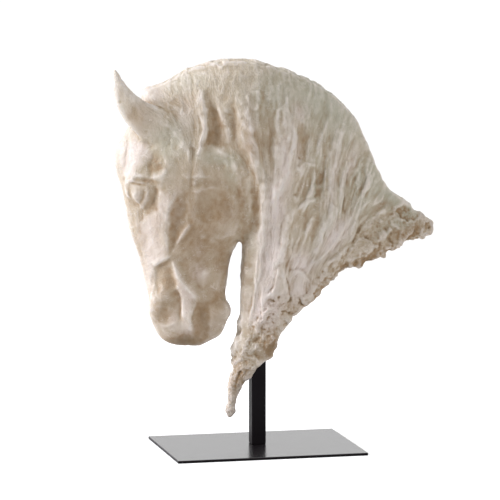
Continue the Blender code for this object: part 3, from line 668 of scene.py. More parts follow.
# Where the neck is broken off, its two plainer blocks by centre and radii, and how its wrinkles lean
CRUMBLED_OUTLINE = (
    (350, 270), (279, 271), (254, 283), (232, 268), (214, 263), (192, 260), (173, 236), (150, 213),
    (125, 193), (104, 182), (92, 150), (66, 136), (44, 130), (24, 130), (6, 124), (-6, 106),
    (-14, 84), (-24, 56), (-44, 20), (-64, -10), (-84, -50), (-90, -90), (-80, -125), (60, -125),
    (350, 190),
)
PLAIN_BLOCKS = (
    ((68, 154), (24, 26)),
    ((8, 14), (10, 16)),
)
WRINKLE_LEAN = math.radians(58)

# The round of the jaw, how far it stands out and how soft its edge is
JAW_ROUND = (
    (-94, 380), (-78, 391), (-60, 389), (-45, 376), (-34, 354), (-28, 326), (-27, 291), (-30, 256),
    (-41, 236), (-66, 224), (-92, 232), (-105, 262), (-109, 300), (-104, 343),
)
JAW_HEIGHT = 3.2
JAW_BLUR = 2.2

# Planes with edges of their own: outline, how far each is sunk or raised, and how strongly it is
# browned, by wash and by painted shade where it turns from the light, or given painted highlight
FACE_PLANES = (
    (((-177, 390), (-158, 384), (-154, 366), (-163, 344), (-184, 338), (-203, 345), (-196, 354),
      (-178, 370)), -1.4, 0.45),
    (((-220, 330), (-206, 338), (-184, 339), (-163, 332), (-166, 326), (-203, 325)), -0.4, 0.55),
    (((-174, 322), (-167, 317), (-166, 295), (-170, 278), (-190, 270), (-194, 280), (-182, 300)), -1.2, 0.8),
    (((-132, 314), (-114, 314), (-118, 260), (-141, 209), (-150, 200), (-152, 226), (-146, 265)), -1.8, 0.45),
    (((-96, 312), (-76, 320), (-58, 314), (-52, 290), (-60, 266), (-77, 257), (-98, 266), (-109, 288)),
     -0.8, 0.65),
    (((-166, 185), (-152, 193), (-143, 186), (-140, 157), (-137, 134), (-132, 115), (-140, 106),
      (-176, 111), (-176, 147)), -1.4, 0.75),
    (((-110, 109), (-101, 116), (-84, 118), (-80, 104), (-84, 54), (-94, 42), (-112, 42), (-112, 85)),
     -2.2, 1.05),
    (((-182, 108), (-165, 112), (-145, 108), (-142, 84), (-160, 76), (-178, 88)), 0.6, 0.9),
)
# On the mane this brown is painted shadow in the hollows beside the locks
MANE_PLANES = (
    (((-80, 472), (-60, 448), (-52, 430), (-53, 404), (-62, 393), (-88, 395), (-83, 421), (-83, 452)),
     -1.2, 0.85),
    (((-46, 466), (-38, 460), (-37, 415), (-44, 398), (-46, 432)), -0.6, 0.6),
    (((64, 436), (77, 433), (80, 411), (73, 367), (60, 362), (57, 383), (61, 411)), -1.6, 0.3),
    (((73, 357), (88, 358), (101, 350), (97, 331), (73, 303), (57, 298), (51, 307), (62, 323)), -1.4, 0.3),
    (((71, 294), (88, 295), (92, 288), (77, 249), (68, 236), (66, 260)), -1.2, 0.2),
    (((157, 338), (176, 346), (176, 301), (150, 271), (143, 275), (147, 300)), -1.8, 0.15),
)
# Planes that face the light, raised a little and painted with highlight
RAISED_HIGHLIGHT_PLANES = (
    (((-190, 270), (-168, 282), (-164, 314), (-140, 314), (-150, 275), (-158, 236), (-152, 197),
      (-176, 178), (-184, 150), (-202, 203), (-208, 250)), 0.7, 0.75),
    (((-143, 187), (-127, 153), (-108, 133), (-102, 117), (-112, 104), (-119, 88), (-130, 92),
      (-133, 115), (-140, 157)), 0.9, 0.85),
    (((-237, 371), (-233, 389), (-221, 401), (-195, 403), (-183, 396), (-182, 374), (-204, 354),
      (-216, 344), (-228, 338)), 0.5, 0.85),
)

# The quieter mane by the ear, by centre and radii
BY_EAR = (-60, 440)
BY_EAR_RADII = (66, 66)

# What holds the wash: smoothing passes that measure a hollow of some width, its share, and the
# depth in millimetres that holds all of it
HOLLOW_WIDTHS = ((4, 0.5, 0.35), (26, 0.45, 1.3), (170, 0.4, 4.0))

# Colours laid on the surface, partly painted light and shade: centre, radii, tilt and strength

# Brown wash, and painted shade where parts turn from the light: the neck's stub, the break's lower rim, the
# muzzle's underside and hollows beside the locks. Above 0.9 it is painted darker.
WASH_AND_SHADE_PATCHES = (
    ((-100, 246), (60, 112), -6, 0.98),
    ((-40, 425), (70, 54), 0, 0.42),
    ((-70, 408), (14, 14), 0, 0.9),
    ((196, 376), (20, 40), -30, 0.4),
    ((-56, 284), (26, 44), 0, 1.15),
    ((-176, 258), (10, 30), -4, 0.4),
    ((-206, 230), (16, 110), 0, 0.5),
    ((236, 278), (40, 14), -34, 0.6),
    ((-94, 84), (22, 44), 6, 1.15),
    ((-78, 66), (24, 34), 0, 0.8),
    ((-178, 108), (14, 30), 0, 0.7),
    ((-156, 96), (28, 30), -8, 0.8),
    ((-128, 42), (54, 20), 0, 1.7),
    ((-170, 92), (16, 30), 10, 1.0),
    ((-70, 112), (30, 48), 0, 0.95),
    ((-62, 196), (22, 60), 0, 1.0),
    ((-22, 190), (10, 130), 0, 0.8),
    ((-170, 360), (20, 20), 10, 1.0),
    ((-190, 332), (36, 8), 0, 0.7),
    ((-202, 446), (26, 30), -30, 0.75),
    ((-232, 486), (12, 30), 14, 0.45),
    ((-192, 300), (28, 32), -6, 0.6),
    ((-222, 300), (8, 50), -6, 0.5),
    ((-160, 160), (14, 36), 4, 0.6),
    ((-100, 340), (34, 20), 0, 0.4),
    ((-50, 300), (26, 60), 0, 0.5),
    ((-10, 300), (8, 70), 0, 0.7),
    ((-30, 360), (14, 24), 30, 0.4),
    ((14, 420), (10, 60), 4, 0.45),
    ((104, 330), (9, 44), -10, 0.35),
    ((272, 230), (44, 12), 24, 0.75),
    ((196, 186), (84, 11), 18, 0.8),
    ((100, 122), (44, 13), 36, 0.85),
    ((18, 32), (16, 26), 0, 1.4),
    ((-36, -26), (16, 34), -20, 0.8),
    ((-34, 296), (13, 60), 0, 0.9),
    ((-24, 166), (14, 50), 0, 1.0),
    ((-168, 262), (16, 44), -6, 0.5),
    ((-52, 176), (14, 60), 0, 0.95),
    ((-14, 396), (13, 36), 0, 1.0),
    ((20, 400), (12, 34), 0, 0.4),
    ((-120, 470), (60, 24), 30, 0.35),
    ((38, 196), (7, 30), 10, 0.5),
    ((-232, 440), (20, 60), -20, 0.3),
)
# A grey-green cast, laid mostly on the top and back of the neck as painted shade where they turn from the
# light
GREEN_CAST_AND_SHADE = (
    ((120, 470), (120, 60), -40, 1.0),
    ((200, 340), (50, 110), -30, 0.9),
    ((30, 480), (60, 50), 0, 0.8),
    ((270, 264), (60, 20), 28, 1.3),
    ((236, 288), (54, 20), -36, 1.3),
    ((-146, 400), (30, 44), -30, 0.8),
    ((-170, 360), (20, 20), 0, 0.9),
    ((-62, 372), (36, 14), -10, 0.9),
    ((-46, 340), (12, 24), 20, 0.8),
    ((-236, 470), (14, 60), 14, 0.7),
    ((110, 250), (14, 50), -24, 0.6),
    ((-20, 170), (14, 120), 0, 0.6),
    ((96, 380), (30, 60), -10, 0.4),
    ((98, 326), (18, 50), -20, 0.8),
    ((156, 300), (16, 50), -20, 0.6),
    ((240, 286), (34, 16), -34, 0.8),
    ((-110, 500), (50, 24), 0, 0.5),
)
# Pinkish white painted as highlight on places that face the light from the left
PAINTED_HIGHLIGHTS = (
    ((-192, 170), (14, 44), 4, 0.6),
    ((-100, 168), (12, 16), 0, 1.1),
    ((-136, 280), (12, 44), -6, 0.5),
    ((-96, 214), (10, 26), 0, 0.5),
    ((-144, 86), (10, 16), 0, 0.8),
    ((-122, 70), (12, 26), 0, 0.6),
    ((36, 360), (14, 60), -4, 1.1),
    ((20, 290), (16, 60), -6, 1.3),
    ((14, 200), (18, 84), -4, 1.3),
    ((30, 110), (14, 40), -8, 0.9),
    ((56, 400), (8, 50), 8, 0.8),
    ((8, 124), (20, 50), -8, 1.3),
    ((62, 182), (28, 26), 0, 1.2),
    ((60, 140), (36, 30), 30, 0.9),
    ((8, 104), (26, 34), 0, 1.8),
    ((-120, 60), (20, 10), 0, 1.0),
    ((128, 232), (44, 17), 48, 1.3),
    ((64, 446), (14, 18), 0, 0.9),
    ((126, 330), (10, 60), -10, 0.6),
    ((160, 352), (10, 34), -20, 0.8),
    ((40, 430), (12, 40), 0, 0.5),
    ((-18, 430), (9, 60), 4, 0.6),
    ((-180, 482), (24, 18), 0, 0.7),
    ((-120, 450), (16, 40), 0, 0.5),
)



# Carving the head

def carve_face(surface):
    """The jaw's round, then strokes, planes, eyes and muzzle on both sides of the face."""
    surface.push_both(surface.plane(JAW_ROUND, JAW_BLUR) * JAW_HEIGHT * surface.depth)
    surface.read_normals()
    surface.strokes(FACE_STROKES, sides=BOTH)
    for outline, height, _ in FACE_PLANES + RAISED_HIGHLIGHT_PLANES:
        surface.push_both(surface.plane(outline) * height * surface.depth)
    surface.read_normals()
    surface.dab(*CHEEK_HOLLOW, sides=BOTH)
    surface.dab(*FAR_CHEEKBONE, sides=(FAR,))
    surface.dab(*EYE_SOCKET, sides=BOTH)
    surface.dab(*EYEBALL, sides=BOTH)
    surface.read_normals()
    surface.strokes(EYE_STROKES, sides=BOTH, taper=0.2, wander=0.6)
    surface.strokes(MUZZLE_STROKES, sides=BOTH, taper=0.15, wander=0.7)
    surface.dab(*NOSTRIL, sides=BOTH)
    surface.dab(*JAW_KNOB, sides=BOTH)
    surface.read_normals()


def carve_mane(surface):
    """The near side's hollows, locks and flakes, each in its place."""
    for outline, height, _ in MANE_PLANES:
        surface.push(surface.plane(outline) * height * surface.facing(NEAR))
    for centre, radii, height, tilt in MANE_HOLLOWS:
        surface.dab(centre, radii, height, tilt)
    surface.strokes(BROAD_LOCKS, sharp=2)
    surface.read_normals()
    surface.strokes(MANE_STROKES)
    surface.read_normals()
    for path, height, fall, hand in FLAKES:
        surface.ledge(path, height, fall, hand)
    surface.read_normals()


def hair_share(surface, mane, broken, down):
    """How strongly the hair shows: less on the break, low on the neck and close to the crest."""
    low_neck = 0.35 + 0.65 * ramp(surface.points[:, 1], 40, 160)
    by_crest = 0.25 + 0.75 * ramp(down + 9 * surface.wobble[:, 0], 12, 60)
    return mane * (1 - 0.85 * broken) * low_neck * by_crest


def comb_mane(surface, combed, hair, depth):
    """Locks that follow the guides, torn into short flakes and strands."""
    places = surface.points
    across, down, spacing = hair
    side = np.where(places[:, 2] > 0, 0.0, 400.0)
    sway = 4.0 * lumps(places, (36, 46, 36), 31) + 2.4 * lumps(places, (13, 17, 13), 37)
    hair = (across + sway / spacing, down, spacing, side)
    broad = strands(hair, 30, 120, 32)
    locks = peaked(strands(hair, 16, 84, 33))
    torn = stepped(strands(hair, 9, 46, 34), -0.09, 0.12)
    shreds = stepped(strands(hair, 5.5, 28, 35), -0.12, 0.14)
    fine = strands(hair, 4.2, 20, 38)
    back = ramp(places[:, 0], 70, 170)
    calm = 0.4 + 0.5 * ramp(lumps(places, (36, 50, 36), 36), -0.45, 0.35)
    calm = calm * (1 + 1.5 * back)
    far = surface.facing(FAR)
    amount = broad * (1.2 + 2.2 * far) + locks * (1.0 + 0.9 * far + 0.9 * back)
    amount = amount + calm * (1.25 * torn + 0.7 * shreds) + 0.3 * fine
    by_ear = 0.75 * surface.patch(BY_EAR, BY_EAR_RADII) * surface.facing(NEAR)
    surface.push(amount * combed * depth * (1 - by_ear))
    surface.read_normals()


def lump_skin(surface, combed):
    """The unevenness of worked clay over the whole head, roughest along the crest."""
    places = surface.points + surface.wobble[:, (0, 1, 1)]
    along, up, _ = places.T
    broad = lumps(places, (24, 30, 24), 41)
    narrow = peaked(lumps(places, (12, 22, 12), 42))
    streaks = peaked(lumps(places, (7, 15, 7), 43))
    chips = stepped(lumps(places, (9, 8, 9), 45), -0.06, 0.12)
    nicks = peaked(lumps(places, (5.5, 6.5, 5.5), 46))
    patchy = ramp(lumps(places, 30, 44), -0.4, 0.5)
    crest = ramp(up - 0.25 * along, 420, 480) * (1 - ramp(along, 170, 240)) * ramp(along, -190, -140)
    plain = 1 - np.maximum(combed, crest)
    crest_line = crest * ramp(surface.normals[:, 1], 0.35, 0.85)
    height = 0.6 * broad + narrow * (0.2 + 0.15 * plain + 0.15 * crest) + 0.3 * streaks * patchy
    height = height + chips * (0.3 * patchy * plain + 0.35 * crest + 1.3 * crest_line)
    surface.push(height + nicks * (0.1 + 0.12 * crest))
    surface.read_normals()


def break_share(surface):
    """1 on the crumbled edge, 0 on the smooth parts, and little on its two plain blocks."""
    share = ramp(-surface.outline_distance(CRUMBLED_OUTLINE) + 2.5 * surface.wobble[:, 0], -6, 9)
    blocks = sum(surface.patch(centre, radii) for centre, radii in PLAIN_BLOCKS)
    return share * (1 - 0.75 * np.clip(blocks, 0, 1))


def crumble(surface, broken):
    """Torn slabs, rope-like wrinkles drawn out down the neck, and lumps along the lower rim."""
    places = surface.points + 2.5 * surface.wobble[:, (0, 1, 0)]
    along, up, out = places.T
    across = along * math.sin(WRINKLE_LEAN) - up * math.cos(WRINKLE_LEAN)
    down = along * math.cos(WRINKLE_LEAN) + up * math.sin(WRINKLE_LEAN)
    leaning = np.column_stack([across, down, out])
    low = 1 - ramp(up, 110, 190)
    rim = ramp(-surface.normals[:, 1], -0.1, 0.5)
    slabs = lumps(leaning, (28, 44, 28), 77)
    folds = np.maximum(peaked(lumps(leaning, (17, 36, 20), 71)), -0.5)
    torn = stepped(lumps(leaning, (15, 25, 15), 74), -0.08, 0.12)
    chips = stepped(lumps(leaning, (7, 9, 7), 76), -0.1, 0.12)
    knobs = np.maximum(cobbles(places, (22, 16, 19), 51), 0.35) - 0.6
    grit = peaked(lumps(places, 5, 72))
    patchy = ramp(lumps(places, 26, 73), -0.5, 0.4)
    height = 3.2 * slabs + folds * (1.3 + 0.6 * low) + 2.8 * torn + chips * patchy
    thin = 1 - 0.4 * ramp(-up, -120, -70) - 0.2 * ramp(-up, -10, 30)
    surface.push(broken * (thin * height + 3.2 * thin * knobs * rim + (0.5 + 0.3 * low) * grit))
    surface.read_normals()


def crack_and_pit(surface):
    """The long cracks of the break and the small round holes."""
    for path, half_width, depth in CRACKS:
        surface.stroke(path, depth, half_width, half_width, taper=0.1, sharp=1.3)
    for centre, radius, depth in PITS:
        surface.dab(centre, (radius, radius), depth)
    surface.read_normals()


def layered(surface, places, planes, side_share):
    """The strongest of a colour's ovals and planes at each point."""
    total = np.zeros(len(surface.points))
    for outline, _, strength in planes:
        total = np.maximum(total, surface.plane(outline, 2.4) * strength)
    for centre, radii, tilt, strength in places:
        total = np.maximum(total, surface.patch(centre, radii, tilt, 2.5) * strength)
    return total * side_share


def colour_surface(surface, combed, broken, hair):
    """Stores what the resin's colours follow, painted shade and painted highlight among them."""
    flat = surface.points
    hollow = 0
    for passes, share, full_depth in HOLLOW_WIDTHS:
        flat = surface.relaxed(flat, passes)
        depth = ((flat - surface.points) * surface.normals).sum(axis=1)
        hollow = hollow + share * depth / full_depth
    hollow = surface.blurred(np.clip(hollow, -1.5, 1.5), 1)
    surface.store("hollow", np.clip(hollow, 0, 1.5) / 1.5)
    surface.store("ridge", np.clip(-hollow, 0, 1.5) / 1.5)
    near = 0.3 + 0.7 * surface.facing(NEAR)
    # Brown wash with painted shade, a grey-green cast that is partly painted shade, and painted highlight,
    # each strongest on the near side
    surface.store("wash_and_shade", layered(surface, WASH_AND_SHADE_PATCHES, FACE_PLANES + MANE_PLANES, near))
    surface.store("green", layered(surface, GREEN_CAST_AND_SHADE, (), near))
    surface.store("painted_highlight", layered(surface, PAINTED_HIGHLIGHTS, RAISED_HIGHLIGHT_PLANES, near))
    surface.store("broken", broken)
    surface.store("mane", combed * (1 - 0.8 * surface.patch(BY_EAR, BY_EAR_RADII)))
    places = surface.points
    across, down, _ = hair
    out = places[:, 2]
    side = np.where(out > 0, 0.0, 900.0)
    sway = 2.4 * lumps(places, (30, 40, 30), 81) + 1.6 * lumps(places, (11, 14, 11), 82)
    surface.store("comb", np.column_stack([across * 24.0 + side + sway, down + 2 * sway, out * 0.2]))


# Small helpers for the operators

def deselect_all():
    for obj in bpy.context.selected_objects:
        obj.select_set(False)


def make_active(obj):
    deselect_all()
    obj.select_set(True)
    bpy.context.view_layer.objects.active = obj


def apply_modifier(obj, kind, **settings):
    make_active(obj)
    bpy.ops.object.modifier_add(type=kind)
    modifier = obj.modifiers[-1]
    for name, value in settings.items():
        setattr(modifier, name, value)
    bpy.ops.object.modifier_apply(modifier=modifier.name)


# Materials

class Mask:
    """A node's output that adds, takes away and multiplies like a number."""

    def __init__(self, tree, socket):
        self.tree = tree
        self.socket = socket

    def worked(self, operation, other=0.0):
        """A maths node's result of this output and another, or a number."""
        node = add(self.tree, "ShaderNodeMath", operation=operation)
        join(self.tree, self, node.inputs[0])
        if isinstance(other, Mask):
            join(self.tree, other, node.inputs[1])
        else:
            node.inputs[1].default_value = other
        return Mask(self.tree, node.outputs[0])

    def __add__(self, other):
        return self.worked("ADD", other)

    def __sub__(self, other):
        return self.worked("SUBTRACT", other)

    def __mul__(self, other):
        return self.worked("MULTIPLY", other)

    def held(self):
        """The last step's result kept between 0 and 1."""
        self.socket.node.use_clamp = True
        return self


def new_material(name):
    made = bpy.data.materials.new(name)
    made.use_nodes = True
    tree = made.node_tree
    return made, tree, tree.nodes["Principled BSDF"]


def set_values(node, values):
    for name, value in values.items():
        node.inputs[name].default_value = value


def add(tree, kind, **settings):
    node = tree.nodes.new(kind)
    for name, value in settings.items():
        setattr(node, name, value)
    return node


def join(tree, source, target):
    if isinstance(source, Mask):
        source = source.socket
    tree.links.new(source, target)


def object_place(tree):
    return add(tree, "ShaderNodeTexCoord").outputs["Object"]


def attribute(tree, name):
    return add(tree, "ShaderNodeAttribute", attribute_name=name)


def cloud_noise(tree, vector, scale, detail=2.0, distortion=0.0):
    """Cloudy noise over a vector, as a mask."""
    node = add(tree, "ShaderNodeTexNoise")
    set_values(node, {"Scale": scale, "Detail": detail, "Distortion": distortion})
    join(tree, vector, node.inputs["Vector"])
    return Mask(tree, node.outputs["Fac"])


def stretched(tree, vector, scale):
    """A vector with its axes scaled apart, for long noise."""
    node = add(tree, "ShaderNodeMapping")
    set_values(node, {"Scale": scale})
    join(tree, vector, node.inputs["Vector"])
    return node.outputs["Vector"]


def between(tree, value, low, high, kind="LINEAR"):
    """A mask that goes from 0 at low to 1 at high."""
    node = add(tree, "ShaderNodeMapRange", interpolation_type=kind)
    set_values(node, {"From Min": low, "From Max": high})
    join(tree, value, node.inputs["Value"])
    return Mask(tree, node.outputs["Result"])


def mix_colour(tree, factor, first, second):
    """From the first colour to the second as the factor goes from 0 to 1."""
    node = add(tree, "ShaderNodeMix", data_type="RGBA")
    join(tree, factor, node.inputs["Factor"])
    for socket, value in ((node.inputs[6], first), (node.inputs[7], second)):
        if isinstance(value, bpy.types.NodeSocket):
            join(tree, value, socket)
        else:
            socket.default_value = (*value, 1.0)
    return node.outputs[2]


def add_bump(tree, shader, height, strength, distance):
    bump = add(tree, "ShaderNodeBump")
    set_values(bump, {"Strength": strength, "Distance": distance})
    join(tree, height, bump.inputs["Height"])
    join(tree, bump.outputs["Normal"], shader.inputs["Normal"])


def speckle_group():
    """A noise mask between two limits, for stains, wear and dust."""
    tree = bpy.data.node_groups.new("Speckle", "ShaderNodeTree")
    tree.interface.new_socket("Vector", in_out="INPUT", socket_type="NodeSocketVector")
    for name, value in (("Scale", 40.0), ("Low", 0.4), ("High", 0.6)):
        socket = tree.interface.new_socket(name, in_out="INPUT", socket_type="NodeSocketFloat")
        socket.default_value = value
    tree.interface.new_socket("Mask", in_out="OUTPUT", socket_type="NodeSocketFloat")
    entry = add(tree, "NodeGroupInput")
    leave = add(tree, "NodeGroupOutput")
    cloud = add(tree, "ShaderNodeTexNoise")
    cloud.inputs["Detail"].default_value = 5.0
    spread = add(tree, "ShaderNodeMapRange")
    join(tree, entry.outputs["Vector"], cloud.inputs["Vector"])
    join(tree, entry.outputs["Scale"], cloud.inputs["Scale"])
    join(tree, cloud.outputs["Fac"], spread.inputs["Value"])
    join(tree, entry.outputs["Low"], spread.inputs["From Min"])
    join(tree, entry.outputs["High"], spread.inputs["From Max"])
    join(tree, spread.outputs["Result"], leave.inputs["Mask"])
    return tree


def speckle(tree, vector, scale, low, high):
    """The group in a material, with its own values."""
    group = bpy.data.node_groups.get("Speckle") or speckle_group()
    node = add(tree, "ShaderNodeGroup", node_tree=group)
    set_values(node, {"Scale": scale, "Low": low, "High": high})
    join(tree, vector, node.inputs["Vector"])
    return Mask(tree, node.outputs["Mask"])


def glinting_lines(tree, place):
    """Thin lines that wander over the surface, broken up into short ones: raised a little by the bump
    and painted pale as highlights on edges.
    """
    off = (cloud_noise(tree, place, 75.0, distortion=1.2) - 0.5).worked("ABSOLUTE")
    thin = between(tree, off, 0.022, 0.004, "SMOOTHSTEP")
    some = between(tree, cloud_noise(tree, place, 60.0), 0.45, 0.6)
    return thin * some


def resin_material(finish):
    """Pale cast resin: brown wash in the hollows and whiter ridges, with painted shade in brown and
    grey-green where parts turn from the light and painted highlights where they face it.
    """
    made, tree, shader = new_material("ivory resin")
    place = object_place(tree)
    hollow, ridge, wash_and_shade, green, painted_highlight, broken, mane = (
        Mask(tree, attribute(tree, name).outputs["Fac"])
        for name in ("hollow", "ridge", "wash_and_shade", "green", "painted_highlight", "broken", "mane"))
    comb = attribute(tree, "comb").outputs["Vector"]
    streaks = cloud_noise(tree, stretched(tree, comb, (0.26, 0.04, 0.2)), 1.0, 4.0)
    hairs = cloud_noise(tree, stretched(tree, comb, (0.55, 0.085, 0.3)), 1.0, 3.0)
    skin = cloud_noise(tree, stretched(tree, place, (360.0, 360.0, 220.0)), 1.0, 4.0)
    cloud = speckle(tree, place, 26.0, 0.36, 0.64)
    mottle = speckle(tree, place, 95.0, 0.32, 0.72)
    grain = speckle(tree, place, 300.0, 0.35, 0.7)
    specks = speckle(tree, place, 260.0, 0.66, 0.74)
    # Thin lines, carved by the bump and painted pale as highlights on flake edges
    glinting_line = glinting_lines(tree, place)
    shreds = between(tree, hairs, 0.44, 0.56, "SMOOTHSTEP")
    haired = mane * 0.75 + 0.25
    streaked = (streaks - 0.5) * haired
    # Paler on rubbed ridges and streaks, and painted highlight along the thin lines
    rubbed_and_glint = (ridge * 1.7 + streaked * 1.6).held() * (mottle * 0.5 + 0.5)
    rubbed_and_glint = (rubbed_and_glint + glinting_line * 0.4).held()
    crevice = hollow * (broken * 0.45 + 1.0)
    # Brown from the wash in the hollows and from the patches, which also paint shade where parts turn from
    # the light
    brown_wash_and_shade = (crevice + wash_and_shade - streaked * 1.6 - glinting_line * 0.25 - ridge * 0.5).held()
    brown_wash_and_shade = (brown_wash_and_shade * (mottle * 0.45 + 0.6)).held()
    brown_wash_and_shade = (brown_wash_and_shade + broken * (grain * 0.25 + 0.12)).held()
    # Darker in deep hollows, and painted deep shade where the patches are strongest, as under the neck's stub
    # and the muzzle
    deep_wash_and_shade = ((crevice - 0.6).held() * 1.4 + (wash_and_shade - 0.9).held() * 0.7).held()
    colour = finish.ivory
    for share, other in (
            (cloud * 0.6, finish.warm),
            (green * 0.85, finish.green),
            (painted_highlight * 0.75, finish.painted_highlight),
            (rubbed_and_glint, finish.pale),
            (brown_wash_and_shade, finish.wash_and_shade_brown),
            (deep_wash_and_shade, finish.wash_and_shade_dark),
            (specks * 0.3, finish.wash_and_shade_dark)):
        colour = mix_colour(tree, share, colour, other)
    join(tree, colour, shader.inputs["Base Color"])
    join(tree, grain * 0.12 + 0.4 + brown_wash_and_shade * 0.15, shader.inputs["Roughness"])
    set_values(shader, {
        "IOR": 1.5, "Subsurface Weight": 0.2, "Subsurface Radius": (1.0, 0.8, 0.55),
        "Subsurface Scale": 0.004})
    height = shreds * haired * 0.5 + skin + grain * 0.25 + glinting_line * 0.25 + broken * grain * 0.7
    add_bump(tree, shader, height, 1.0, 0.001)
    return made


def polish_top(tree, shader, place, roughness):
    """A smooth clear finish on the plate's upper face that its cut edges don't have."""
    height = add(tree, "ShaderNodeSeparateXYZ")
    join(tree, place, height.inputs["Vector"])
    upper = between(tree, height.outputs["Z"], PLATE_TOP - PLATE_EDGE, PLATE_TOP - PLATE_EDGE / 2)
    join(tree, upper, shader.inputs["Coat Weight"])
    set_values(shader, {"Coat IOR": 1.85, "Coat Roughness": roughness})


def steel_material(name, colour, roughness, polish=None):
    """Black finished steel, with a little dust and soft wear."""
    made, tree, shader = new_material(name)
    place = object_place(tree)
    if polish is not None:
        polish_top(tree, shader, place, polish)
    dust = speckle(tree, place, 60.0, 0.35, 0.75)
    grain = speckle(tree, place, 900.0, 0.3, 0.7)
    worn = tuple(min(1.0, c * 1.5 + 0.002) for c in colour)
    join(tree, mix_colour(tree, dust * 0.6, colour, worn), shader.inputs["Base Color"])
    join(tree, dust * 0.08 + roughness, shader.inputs["Roughness"])
    set_values(shader, {
        "IOR": 1.5, "Specular IOR Level": 0.05, "Specular Tint": (0.97, 0.965, 1.0, 1.0)})
    add_bump(tree, shader, grain, 0.05, 0.0002)
    return made


def seen_mask(tree):
    """1 for what the camera or a reflection sees, 0 for what only gives light."""
    rays = add(tree, "ShaderNodeLightPath")
    mirrored = Mask(tree, rays.outputs["Is Glossy Ray"])
    return Mask(tree, rays.outputs["Is Camera Ray"]).worked("MAXIMUM", mirrored)


def floor_material():
    """White paper that the camera and reflections see a little brighter than it is lit."""
    made, tree, shader = new_material("white floor")
    set_values(shader, {
        "Base Color": (0.9, 0.9, 0.9, 1.0), "Roughness": 0.7,
        "Emission Color": (1.0, 1.0, 1.0, 1.0)})
    join(tree, seen_mask(tree) * FLOOR_GLOW, shader.inputs["Emission Strength"])
    return made


# Settings

def colour_property(name, description, default):
    return bpy.props.FloatVectorProperty(
        name=name, description=description, default=default, subtype="COLOR", min=0.0, max=1.0)


def share_property(name, description, default, most=1.0):
    return bpy.props.FloatProperty(
        name=name, description=description, default=default, subtype="FACTOR", min=0.0, max=most)


def strength_property(name, description, default):
    return bpy.props.FloatProperty(name=name, description=description, default=default, min=0.0)


class HorseHeadSizes(bpy.types.PropertyGroup):
    grain: bpy.props.FloatProperty(
        name="Grain", description="Spacing of the carved surface's points",
        default=0.0019, min=0.0015, max=0.01, unit="LENGTH")
    melting: share_property(
        "Melting", "How much of the solid's own relief is melted before it is carved", 0.7)
    kept_faces: bpy.props.IntProperty(
        name="Kept faces", description="Triangles left on the head after thinning",
        default=196000, min=20000, max=199000)
    stroke_depth: share_property(
        "Stroke depth", "How strongly the named ridges and hollows are carved", 0.8, 3.0)
    strand_depth: share_property(
        "Strand depth", "How strongly the mane's strands are carved", 1.0, 3.0)


class HorseHeadFinish(bpy.types.PropertyGroup):
    ivory: colour_property("Ivory", "The resin's own colour", (0.555, 0.465, 0.355))
    warm: colour_property("Warm", "The resin where it is cloudy", (0.47, 0.395, 0.29))
    # Pale also paints the highlight along the thin edge lines
    pale: colour_property("Pale", "Ridges that handling has cleaned", (0.78, 0.71, 0.645))
    # Painted highlight on places that face the light
    painted_highlight: colour_property("Pink", "Whiter places in the resin", (0.77, 0.675, 0.63))
    # Partly painted shade on the top and back of the neck
    green: colour_property("Green", "The grey-green cast of the thick resin", (0.45, 0.44, 0.345))
    # Also the painted shade where parts turn from the light
    wash_and_shade_brown: colour_property("Brown", "The wash left in the hollows", (0.30, 0.19, 0.095))
    # Also the painted deep shade under the neck's stub and the muzzle
    wash_and_shade_dark: colour_property("Dark", "The wash in pits and cracks", (0.17, 0.12, 0.065))
    steel: colour_property("Steel", "The stand's black finish", (0.006, 0.0045, 0.0055))
    satin: share_property("Satin", "Roughness of the steel under its finish", 0.38)
    plate_coat: share_property("Plate coat", "Roughness of the plate's smooth upper finish", 0.2)


class HorseHeadStage(bpy.types.PropertyGroup):
    azimuth: bpy.props.FloatProperty(
        name="Azimuth", description="Camera's direction round the stand",
        default=math.radians(-13.43), unit="ROTATION")
    elevation: bpy.props.FloatProperty(
        name="Elevation", description="Camera's height as an angle",
        default=math.radians(7.46), unit="ROTATION")
    distance: bpy.props.FloatProperty(
        name="Distance", description="Camera's distance from its target", default=6.82, unit="LENGTH")
    target: bpy.props.FloatVectorProperty(
        name="Target", description="Where the camera looks", default=(-0.0127, 0.0, 0.3521),
        subtype="TRANSLATION")
    lens: bpy.props.FloatProperty(
        name="Lens", description="Focal length in millimetres on a 36 mm wide sensor",
        default=279.5, unit="CAMERA")
    window: strength_property("Window light", "Strength of the soft light from the left", 4.2)
    room: strength_property("Room light", "Strength of the very soft light from the front", 0.75)
    ceiling: strength_property("Ceiling light", "Strength of the very soft light from above", 0.5)
    surround: share_property("Surround", "How strongly the white surround lights the piece", 0.30)


# Operators

